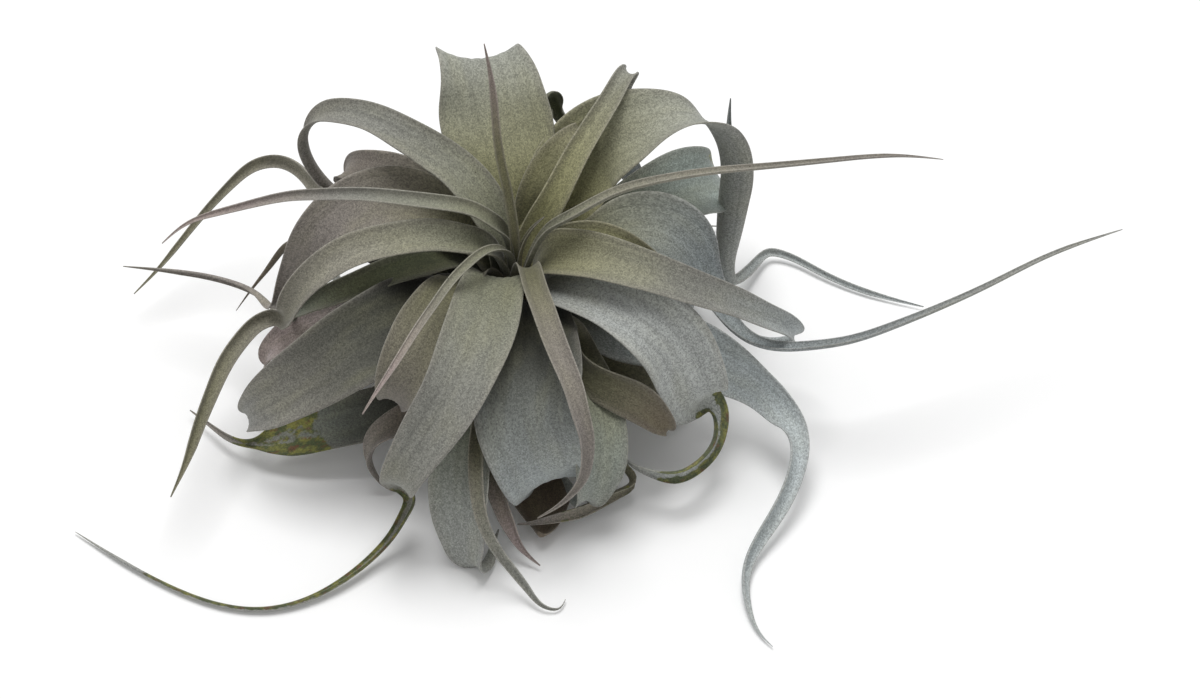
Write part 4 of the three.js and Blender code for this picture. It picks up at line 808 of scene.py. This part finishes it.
def felt_colour(tree, pattern, grain, rim):
    # the stored tone carries the painted shade of the heart
    tone = node(tree, "Attribute", out="Color", attribute_name="tone")
    margin = node(tree, "Attribute", out="Fac", attribute_name="margin")
    shade = node(tree, "MapRange", (pattern["lustre"], 0.0, 1.0, 1 - grain, 1 + grain))
    for name, (dark, light) in SHADES.items():
        change = node(tree, "MapRange", (pattern[name], *NOISE_SPAN, dark, light))
        shade = node(tree, "Math", (shade, change), operation="MULTIPLY")

    thin = node(tree, "MapRange", (pattern["blotches"], *THIN_FELT, 0.0, THIN_GREEN))
    green = (*TONES["green"], 1.0)
    colour = node(tree, "Mix", {FACTOR: thin, ONE: tone, OTHER: green}, **COLOURS)
    sunned = node(tree, "MapRange", (margin, 0.0, MAUVE_WIDTH, MAUVE_TINT, 0.0))
    mauve = (*TONES["mauve"], 1.0)
    colour = node(tree, "Mix", {FACTOR: sunned, ONE: colour, OTHER: mauve}, **COLOURS)
    colour = node(tree, "VectorMath", {0: colour, SCALE: shade}, operation="SCALE")
    edge = node(tree, "MapRange", (margin, RIM_CORE * RIM_WIDTH, RIM_WIDTH, rim, 0.0))
    pale = linear(RIM_COLOUR)
    colour = node(tree, "Mix", {FACTOR: edge, ONE: colour, OTHER: pale}, **COLOURS)
    radius = SPECK_SIZE / SPECK_SPACING
    span = (SPECK_CORE * radius, radius, SPECK_COVER, 0.0)
    speck = node(tree, "MapRange", (pattern["specks"], *span))
    dark = linear(SPECK_COLOUR)
    return node(tree, "Mix", {FACTOR: speck, ONE: colour, OTHER: dark}, **COLOURS)


# %% [markdown]
# ## Moss
# On leaves that lie low, algae and moss grow on the damp margins: patches of dark and
# yellow green with rusty flecks. A rough noise decides where they are, and the number that
# was stored on the leaf how far they get.
# %% Moss
MOSS_PATCH = (2.6, 4.2)  # the width and length of a patch, in mm
MOSS_EDGE, MOSS_COVER = (1.0, 1.12), 0.88  # where noise and stored number reach this sum
MOSS_COLOURS = ("#4c5532", "#82813c")  # dark and yellow green,
YELLOW_SPAN = (0.46, 0.62)  # and where in its noise one gives way to the other
RUST_COLOUR, RUST_SPAN = "#6b4a30", (0.54, 0.64)
MOSS_SHADES = (0.7, 1.15)


def mossy(tree, colour, lustre):
    """The colour with moss on it."""
    blade = node(tree, "Attribute", out="Vector", attribute_name="blade")
    moss = node(tree, "Attribute", out="Fac", attribute_name="moss")
    cell = (1 / MOSS_PATCH[0], 1 / MOSS_PATCH[1], 1.0)
    place = node(tree, "VectorMath", (blade, cell), operation="MULTIPLY")
    noise = {"Vector": place, "Scale": 1.0, "Detail": 6.0, "Roughness": 0.65}
    patches = node(tree, "TexNoise", noise)
    hues = node(tree, "SeparateColor", (patches.node.outputs["Color"],)).node.outputs
    grown = node(tree, "Math", (patches, moss), operation="ADD")
    cover = node(tree, "MapRange", (grown, *MOSS_EDGE, 0.0, MOSS_COVER))

    dark, light = map(linear, MOSS_COLOURS)
    yellow = node(tree, "MapRange", (hues[1], *YELLOW_SPAN))
    greens = {FACTOR: yellow, ONE: dark, OTHER: light}
    green = node(tree, "Mix", greens, **COLOURS)
    rusty = node(tree, "MapRange", (hues[2], *RUST_SPAN))
    rust = linear(RUST_COLOUR)
    green = node(tree, "Mix", {FACTOR: rusty, ONE: green, OTHER: rust}, **COLOURS)
    shade = node(tree, "MapRange", (lustre, 0.0, 1.0, *MOSS_SHADES))
    green = node(tree, "VectorMath", {0: green, SCALE: shade}, operation="SCALE")
    return node(tree, "Mix", {FACTOR: cover, ONE: colour, OTHER: green}, **COLOURS)


# %% [markdown]
# ## The finished skins
# Felt scatters light: it is rough, hardly reflects, and glows faintly where it is seen along
# the surface, which is what sheen does. Its scales and veins are relief of about a tenth and
# a quarter of a millimetre, too fine for the mesh, so they are bump. Young leaves have a
# smoother felt than grown ones, and old leaves a worn one.
# %% Skins
SCALE_RELIEF = 0.12
VEIN_RELIEF = 0.25
FELT_ROUGHNESS = (0.7, 0.86)  # of the shiniest and of the dullest scales


def leaf_skin(name, grain, rim):
    """The felted skin. grain is how strong its sandy grain is, and rim how pale its margins."""
    skin, tree, shader = new_material(name)
    pattern = felt_pattern(tree)
    colour = mossy(tree, felt_colour(tree, pattern, grain, rim), pattern["lustre"])
    tree.links.new(colour, shader.inputs["Base Color"])
    rough = node(tree, "MapRange", (pattern["lustre"], 0.0, 1.0, *FELT_ROUGHNESS))
    tree.links.new(rough, shader.inputs["Roughness"])
    shader.inputs["IOR"].default_value = 1.4
    shader.inputs["Specular IOR Level"].default_value = 0.3
    shader.inputs["Sheen Weight"].default_value = 0.2
    shader.inputs["Sheen Roughness"].default_value = 0.45
    relief = {"Height": pattern["scales"], "Strength": 0.4, "Distance": SCALE_RELIEF * MM}
    felt = node(tree, "Bump", relief)
    relief = {"Height": pattern["veins"], "Strength": 0.5, "Distance": VEIN_RELIEF * MM}
    ribs = node(tree, "Bump", {**relief, "Normal": felt})
    tree.links.new(ribs, shader.inputs["Normal"])
    return skin


SKINS = {
    "young_leaf": leaf_skin("young_leaf_trichome_felt", grain=0.24, rim=0.12),
    "leaf": leaf_skin("silver_leaf_trichome_felt", grain=0.3, rim=0.12),
    "old_leaf": leaf_skin("old_leaf_worn_felt", grain=0.28, rim=0.1),
}
print(len(SKINS), "leaf skins")

# %% [markdown]
# ## Growing the leaves
# The frame's record says which slot, and so which skin, each leaf belongs to.
# %% All leaves
slots = {row["node"]: row["material_slot"] for row in frame["record"]["subparts"]}
longest = 0.0
for number, leaf in enumerate(LEAVES, start=1):
    slot = slots[leaf["name"]]
    piece, length = leaf_piece(leaf, number, SKINS[slot])
    longest = max(longest, length)
print(f"{len(LEAVES)} leaves grown, the longest {longest:.0f} mm")

# %% [markdown]
# ## The stem
# The stem is a short woody stub, ringed by the scars of leaves that have dropped and shaggy
# with their dry sheaths. It is hidden by the rosette, but shows from underneath. A turned
# outline would be too even, so the rings of its mesh are roughened by a rule.
# %% Stem
# the radius at each height
STEM_OUTLINE = [(9.5, 0), (11, 4), (11.5, 16), (12, 34), (10.5, 48), (7, 58), (3.2, 64)]
STEM_STEPS, STEM_SIDES = 90, 56
SCAR_SPACING, SCAR_DEPTH = 3.4, 0.5
SCAR_LEVEL = 0.6  # this share of the depth is cut in, and the rest stands out
RIDGES, RIDGE_HEIGHT, RIDGE_TWIST = 9, 0.25, 0.4
LUMPS, LUMP_TURN = 4, 1.3
FIBRE_SHARE = 0.12  # along the stem the noise changes only this share as fast
BARK_COLOURS = ("#4a3b2b", "#8a7657")
BARK_SPAN = (0.35, 0.65)
BARK_ROUGHNESS = (0.95, 0.8)
BARK_RELIEF = 0.5


def stem_piece(material):
    heights = np.linspace(0, STEM_OUTLINE[-1][1], STEM_STEPS)
    radii, levels = zip(*STEM_OUTLINE)
    outline = np.interp(heights, levels, radii)
    angles = np.linspace(0, TWO_PI, STEM_SIDES, endpoint=False)
    winding = heights[:, None] / SCAR_SPACING + angles / TWO_PI
    scars = SCAR_DEPTH * (np.abs((winding % 1) * 2 - 1) ** 2 - SCAR_LEVEL)
    ridges = RIDGE_HEIGHT * np.sin(RIDGES * angles + heights[:, None] * RIDGE_TWIST)
    ridges = ridges * np.sin(LUMPS * angles - LUMP_TURN)
    reach = outline[:, None] + (scars + ridges) * smoothstep(heights, 0, 3)[:, None]
    rings = np.stack(
        [reach * np.cos(angles), reach * np.sin(angles), np.repeat(heights[:, None], STEM_SIDES, 1)],
        axis=-1,
    )
    piece = piece_from("grown_stem", rings)
    piece.data.materials.append(material)
    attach(piece, "root")
    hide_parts("stem")


def dry_stem():
    """Dead, fibrous sheath tissue: dull brown, streaked along the stem, with no gloss."""
    bark, tree, shader = new_material("dry_fibrous_stem")
    place = node(tree, "TexCoord", out="Object")
    per_mm = (1 / MM, 1 / MM, FIBRE_SHARE / MM)
    fibres = node(tree, "VectorMath", (place, per_mm), operation="MULTIPLY")
    noise = {"Vector": fibres, "Scale": 1.0, "Detail": 5.0, "Roughness": 0.7}
    grain = node(tree, "TexNoise", noise)
    light = node(tree, "MapRange", (grain, *BARK_SPAN))
    dark, pale = map(linear, BARK_COLOURS)
    browns = {FACTOR: light, ONE: dark, OTHER: pale}
    colour = node(tree, "Mix", browns, **COLOURS)
    tree.links.new(colour, shader.inputs["Base Color"])
    rough = node(tree, "MapRange", (grain, *NOISE_SPAN, *BARK_ROUGHNESS))
    tree.links.new(rough, shader.inputs["Roughness"])
    shader.inputs["Specular IOR Level"].default_value = 0.2
    relief = {"Height": grain, "Strength": 0.6, "Distance": BARK_RELIEF * MM}
    tree.links.new(node(tree, "Bump", relief), shader.inputs["Normal"])
    return bark


stem_piece(dry_stem())
print("stem made")

dressed_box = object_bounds()
sizes = {
    "cad": [list(corner) for corner in cad_box],
    "visual": [list(corner) for corner in dressed_box],
}
for name, (low, high) in sizes.items():
    print(name, [round((h - l) / MM, 1) for l, h in zip(low, high)], "mm")
